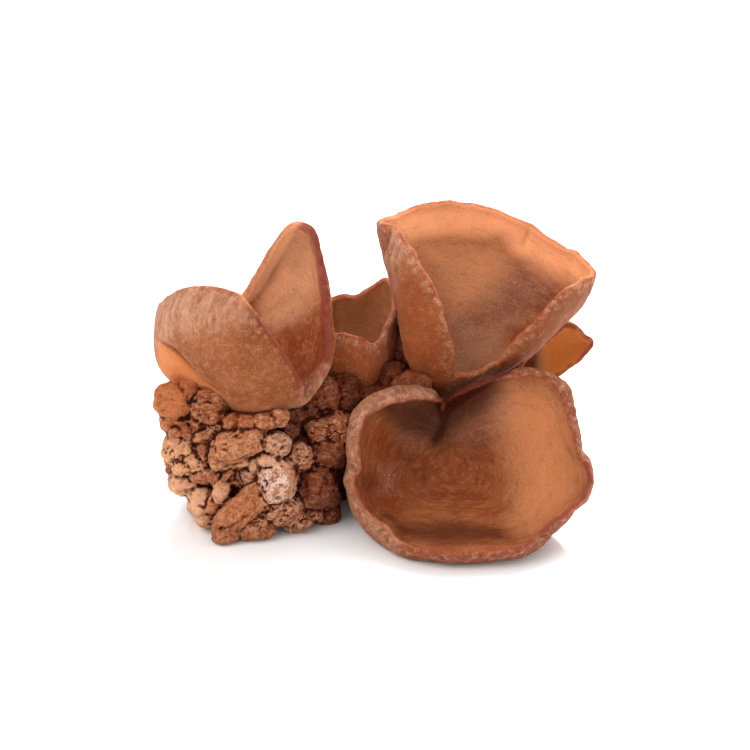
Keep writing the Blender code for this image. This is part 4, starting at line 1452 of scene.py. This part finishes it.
class Skin:
    """A material under construction. Its patterns are measured in millimetres."""

    def __init__(self, name, **constants):
        self.material = bpy.data.materials.new(name)
        self.material.use_nodes = True
        self.tree = self.material.node_tree
        self.shader = self.tree.nodes["Principled BSDF"]
        for word, value in constants.items():
            self.shader.inputs[socket_name(word)].default_value = value
        self.place = self.stretched(self.node("ShaderNodeTexCoord", {}, "Object"), (1.0 / MM,) * 3)

    def node(self, kind, values, output=0, **settings):
        made = self.tree.nodes.new(kind)
        for name, value in settings.items():
            setattr(made, name, value)
        for name, value in values.items():
            if isinstance(value, Reading):
                self.tree.links.new(value.socket, made.inputs[name])
            else:
                made.inputs[name].default_value = value
        return Reading(self, made.outputs[output])

    def stored(self, name, output="Fac"):
        return self.node("ShaderNodeAttribute", {}, output, attribute_name=name)

    def stretched(self, vector, scale):
        return self.node("ShaderNodeVectorMath", {0: vector, 1: scale}, operation="MULTIPLY")

    def noise(self, vector, size, detail=2.0, roughness=0.5, distortion=0.0, stretch=None):
        """Noise from 0 to 1 whose spots are about `size` millimetres wide."""
        if stretch:
            vector = self.stretched(vector, stretch)
        values = {"Vector": vector, "Scale": 1.0 / size, "Detail": detail}
        values.update({"Roughness": roughness, "Distortion": distortion})
        return self.node("ShaderNodeTexNoise", values, "Fac")

    def spots(self, vector, size):
        """The way to the middle of the nearest of scattered spots, `size` millimetres apart."""
        values = {"Vector": vector, "Scale": 1.0 / size}
        return self.node("ShaderNodeTexVoronoi", values, "Distance")

    def mixed(self, share, first, second, **settings):
        """A colour between two colours."""
        values = {MIX_SHARE: share, MIX_FIRST: first, MIX_SECOND: second}
        return self.node("ShaderNodeMix", values, MIX_RESULT, data_type="RGBA", **settings)

    def coated(self, paint, *coats):
        """The paint under its coats, each (what it is, its share, its colour), the last on top."""
        for label, share, tint in coats:
            paint = self.mixed(share, paint, colour(*tint), label=label)
        return paint

    def painted(self, **links):
        for word, value in links.items():
            self.tree.links.new(value.socket, self.shader.inputs[socket_name(word)])
        return self.material

    def bump(self, height, distance):
        return self.node("ShaderNodeBump", {"Height": height, "Distance": distance * MM})


def ear_outside_skin():
    """The outer side: tan to orange brown, velvety with fine pale grains, a purple rim."""
    skin = Skin("ear_outside", subsurface_weight=0.5, subsurface_radius=(1.0, 0.36, 0.12),
                subsurface_scale=3.0 * MM, specular_ior_level=0.15, emission_strength=1.0)
    flow = skin.stored("flow", "Vector")
    below = -skin.stored("edge")
    glow = skin.stored("glow")
    patches = skin.noise(skin.place, size=9.0, detail=3.0)
    mottling = skin.noise(skin.place, size=1.8, detail=4.0, roughness=0.65)
    velvet = skin.noise(skin.place, size=0.5, detail=3.0, roughness=0.65)
    grains = skin.noise(flow, size=0.36, roughness=0.6, stretch=(1.0, 1.0, 0.5)).ramp(0.52, 0.7)
    runs = skin.noise(
        flow, size=1.3, detail=3.0, roughness=0.6, distortion=0.6, stretch=(1.0, 1.0, 0.14)
    ).ramp(0.4, 0.6)
    clusters = mottling.ramp(0.42, 0.68)
    lip = below.ramp(4.5, 1.5)
    paint = skin.mixed(patches.ramp(0.3, 0.7), colour(152, 80, 36), colour(174, 102, 56))
    paint = skin.coated(
        paint,
        ("pale clusters", clusters * 0.4, (198, 140, 102)),
        ("dark velvet", velvet.ramp(0.6, 0.38) * 0.5, (106, 42, 14)),
        ("light through the wall", glow, (226, 138, 80)),
        # A deeper red brown: partly the flesh's own tone, partly painted shade on walls that lie in
        # shadow
        ("warm parts", skin.stored("warm"), (150, 70, 24)),
        ("shaded parts", skin.stored("dusk"), (124, 66, 42)),
        # Pale flecks, and painted highlights where the wall catches the light
        ("pale and highlighted parts", skin.stored("pale_and_highlight") * (0.3 + 0.3 * clusters + 0.4 * runs), (212, 164, 134)),
        ("pale grains", grains * (0.12 + 0.48 * clusters), (222, 172, 138)),
        ("pale lip", lip * clusters * (0.3 + 0.5 * grains), (216, 168, 140)),
        # Painted shade in recesses, in the pleat and on undersides
        ("deep parts", skin.stored("deep_shade"), (84, 32, 10)),
        ("purple rim", skin.stored("band") * 0.9, (134, 58, 44)),
        # Painted shade in the hollows of the wall
        ("hollows", skin.stored("hollow") * 0.6, (84, 30, 10)),
    )
    height = velvet * 0.5 + grains * 0.5 + mottling * 1.2
    return skin.painted(
        base_color=paint, roughness=0.5 + 0.2 * velvet,
        emission_color=skin.mixed(glow * 0.25, colour(*BLACK), colour(160, 90, 50)),
        normal=skin.bump(height, 0.45),
    )


def ear_inside_skin():
    """The inner side: smoother, red brown, lighter where light comes through the wall."""
    skin = Skin("ear_inside", subsurface_weight=0.5, subsurface_radius=(1.0, 0.34, 0.1),
                subsurface_scale=3.0 * MM, specular_ior_level=0.07, emission_strength=1.0)
    flow = skin.stored("flow", "Vector")
    below = skin.stored("edge")
    glow, warm = skin.stored("glow"), skin.stored("warm")
    patches = skin.noise(skin.place, size=10.0, detail=3.0)
    smears = skin.noise(skin.place, size=3.0, detail=4.0, roughness=0.6, distortion=1.2)
    streaks = skin.noise(flow, size=1.5, detail=3.0, stretch=(1.0, 1.0, 0.16)) * below.ramp(16.0, 4.0)
    rings = skin.noise(
        flow, size=1.6, detail=4.0, roughness=0.6, distortion=0.8, stretch=(0.25, 0.25, 1.0)
    )
    arcs = skin.noise(
        flow, size=4.5, detail=3.0, roughness=0.6, distortion=0.8, stretch=(0.2, 0.2, 1.0)
    )
    fine = skin.noise(skin.place, size=0.4, detail=3.0, roughness=0.6)
    flecks = skin.noise(
        skin.place, size=0.8, detail=3.0, roughness=0.6, stretch=(1.0, 1.0, 1.6)
    ).ramp(0.56, 0.68)
    specks = skin.spots(skin.place, size=2.3).ramp(0.15, 0.07)
    paint = skin.mixed(patches.ramp(0.3, 0.7), colour(146, 78, 38), colour(164, 94, 52))
    paint = skin.coated(
        paint,
        ("shaded parts", skin.stored("dusk"), (138, 86, 64)),
        ("light through the wall", glow, (238, 162, 110)),
        # A deeper red brown: partly the flesh's own tone, partly painted shade on walls that lie in
        # shadow
        ("warm parts", warm, (146, 62, 18)),
        ("lit rim", glow * below.ramp(4.5, 1.0) * (0.6 - 0.6 * warm), (206, 112, 58)),
        ("pale smears", smears.ramp(0.5, 0.72) * (0.28 - 0.2 * glow), (200, 148, 116)),
        ("dark smears", smears.ramp(0.48, 0.28) * (0.25 - 0.2 * glow), (96, 42, 18)),
        ("pale arcs", arcs.ramp(0.5, 0.68) * (0.3 - 0.25 * glow), (180, 112, 70)),
        ("dark arcs", arcs.ramp(0.48, 0.32) * (0.35 - 0.3 * glow), (96, 36, 12)),
        ("pale rings", rings.ramp(0.52, 0.7) * (0.4 - 0.25 * glow), (196, 134, 96)),
        ("dark rings", rings.ramp(0.46, 0.3) * (0.45 - 0.25 * glow), (92, 34, 10)),
        # Pale flecks, and painted highlights where the wall catches the light
        ("pale and highlighted parts", skin.stored("pale_and_highlight") * (0.22 + 0.68 * flecks), (204, 156, 130)),
        ("pale streaks", streaks.ramp(0.5, 0.85) * 0.25, (204, 144, 106)),
        ("fine dark grain", fine.ramp(0.6, 0.4) * 0.2, (110, 48, 20)),
        ("fine pale grain", fine.ramp(0.56, 0.72) * 0.2, (226, 172, 136)),
        ("specks", specks * 0.4, (110, 50, 22)),
        # Painted shade in recesses, in the pleat and on undersides
        ("deep parts", skin.stored("deep_shade"), (64, 20, 5)),
        ("purple rim", skin.stored("band") * 0.85, (126, 52, 38)),
        # Painted shade in the hollows of the wall
        ("hollows", skin.stored("hollow") * 0.3, (84, 30, 10)),
    )
    height = fine * 0.5 + smears * 0.8 + streaks * 0.4 + rings * 0.9
    light = skin.mixed(warm, colour(136, 104, 76), colour(150, 82, 24))
    return skin.painted(
        base_color=paint, roughness=0.42 + 0.2 * fine,
        emission_color=skin.mixed(glow, colour(*BLACK), light), normal=skin.bump(height, 0.3),
    )


def knot_skin():
    """The knot: each lump in its own colour, pale on its crests with a painted highlight, nearly black
    in its hollows with painted shade.
    """
    skin = Skin("knot_skin_grown", subsurface_weight=0.35, subsurface_radius=(1.0, 0.32, 0.1),
                subsurface_scale=1.8 * MM, specular_ior_level=0.1)
    along = skin.stored("along", "Vector")
    hollow, pale = skin.stored("hollow"), skin.stored("pale")
    patches = skin.noise(skin.place, size=4.0, detail=4.0, roughness=0.6)
    fine = skin.noise(skin.place, size=0.7, detail=4.0, roughness=0.65, distortion=0.4)
    pits = skin.spots(skin.place, size=0.8).ramp(0.30, 0.12)
    frost = skin.noise(skin.place, size=1.4, detail=4.0, roughness=0.7)
    streaks = skin.noise(
        along, size=0.9, detail=3.0, roughness=0.6, distortion=0.6, stretch=(0.25, 1.0, 1.0)
    )
    paint = skin.coated(
        skin.stored("tint", "Vector"),
        ("dark patches", patches.ramp(0.62, 0.3) * 0.35, (120, 54, 20)),
        ("pale flecks", pale * frost.ramp(0.44, 0.66) * 0.7, (212, 158, 120)),
        ("pale streaks", pale * streaks.ramp(0.5, 0.66) * 0.5, (220, 170, 136)),
        # Pale crests: partly pale flecks, partly a painted highlight on the ridges
        ("pale crests", (0.15 + pale) * skin.stored("crest") * 0.65, (220, 170, 132)),
        ("white bloom", skin.stored("bloom") * frost.ramp(0.4, 0.58) * 0.85, (232, 204, 188)),
        ("dark streaks", streaks.ramp(0.46, 0.3) * 0.5, (104, 42, 14)),
        ("fine dark grain", fine.ramp(0.5, 0.3) * 0.4, (104, 38, 10)),
        ("pits", pits * 0.2, (74, 26, 8)),
        # Painted shade in the hollows, crevices and cracks
        ("shallow hollows", hollow.ramp(0.05, 0.4) * 0.6, (104, 34, 8)),
        ("deep hollows", hollow.ramp(0.25, 0.9) * 0.97, (48, 11, 2)),
    )
    height = fine * 0.9 - pits * 0.3 + frost * 0.6 + streaks * 0.8
    return skin.painted(
        base_color=paint, roughness=0.4 + 0.3 * fine, normal=skin.bump(height, 0.35),
    )


def floor_skin():
    """Nearly white and a bit glossy, all over the same to the eye."""
    skin = Skin("floor_white", specular_ior_level=0.5, coat_weight=0.0)
    broad = skin.noise(skin.place, size=30000.0)
    paint = skin.mixed(broad, colour(250, 250, 249), colour(252, 252, 252))
    return skin.painted(base_color=paint, roughness=0.12 + 0.02 * broad)


# The studio, in metres

FLOOR_SIDE = 6.0
WORLD_LIGHT = 0.9
LAMP_AIM = Vector((0.0, 0.0, 0.035))
NEAREST_SEEN = 0.01

# Square softboxes: name, place, power in watts, side
SOFTBOXES = (
    ("back_softbox", (0.25, 0.65, 0.7), 14.0, 0.7),
    ("key_softbox", (-0.55, -0.45, 0.75), 4.5, 0.6),
    ("side_fill", (0.8, -0.3, 0.35), 1.5, 0.6),
)


def make_floor():
    deselect_all()
    bpy.ops.mesh.primitive_plane_add(size=FLOOR_SIDE, location=(0, 0, 0))
    floor = bpy.context.object
    floor.name = "floor"
    floor.data.materials.append(floor_skin())


def make_softbox(name, place, power, side):
    """A softbox that faces the clump."""
    lamp = bpy.data.lights.new(name, "AREA")
    lamp.energy = power
    lamp.size = side
    item = bpy.data.objects.new(name, lamp)
    bpy.context.scene.collection.objects.link(item)
    item.location = place
    item.rotation_euler = (LAMP_AIM - Vector(place)).to_track_quat("-Z", "Y").to_euler()


def make_studio():
    world = bpy.data.worlds.new("studio")
    bpy.context.scene.world = world
    world.use_nodes = True
    background = world.node_tree.nodes["Background"]
    background.inputs["Color"].default_value = (1.0, 1.0, 1.0, 1.0)
    background.inputs["Strength"].default_value = WORLD_LIGHT
    for softbox in SOFTBOXES:
        make_softbox(*softbox)


def make_camera():
    lens = bpy.data.cameras.new("camera")
    lens.lens = LENS
    lens.sensor_width = SENSOR
    lens.clip_start = NEAREST_SEEN
    camera = bpy.data.objects.new("camera", lens)
    bpy.context.scene.collection.objects.link(camera)
    camera.location = CAMERA_PLACE * MM
    camera.rotation_euler = (math.radians(90.0) - CAMERA_HEIGHT_ANGLE, 0.0, 0.0)
    bpy.context.scene.camera = camera
    bpy.context.scene.view_settings.view_transform = "Standard"


def main():
    make_camera()
    make_studio()
    make_floor()
    skins = (ear_outside_skin(), ear_inside_skin())
    for name, ear in (
        ("front_ear", front_ear()),
        ("tall_ear", tall_ear()),
        ("left_ear", left_ear()),
        ("middle_ear", middle_ear()),
        ("rear_ear", rear_ear()),
    ):
        make_ear(name, ear, skins)
    make_knot(knot_skin())


main()
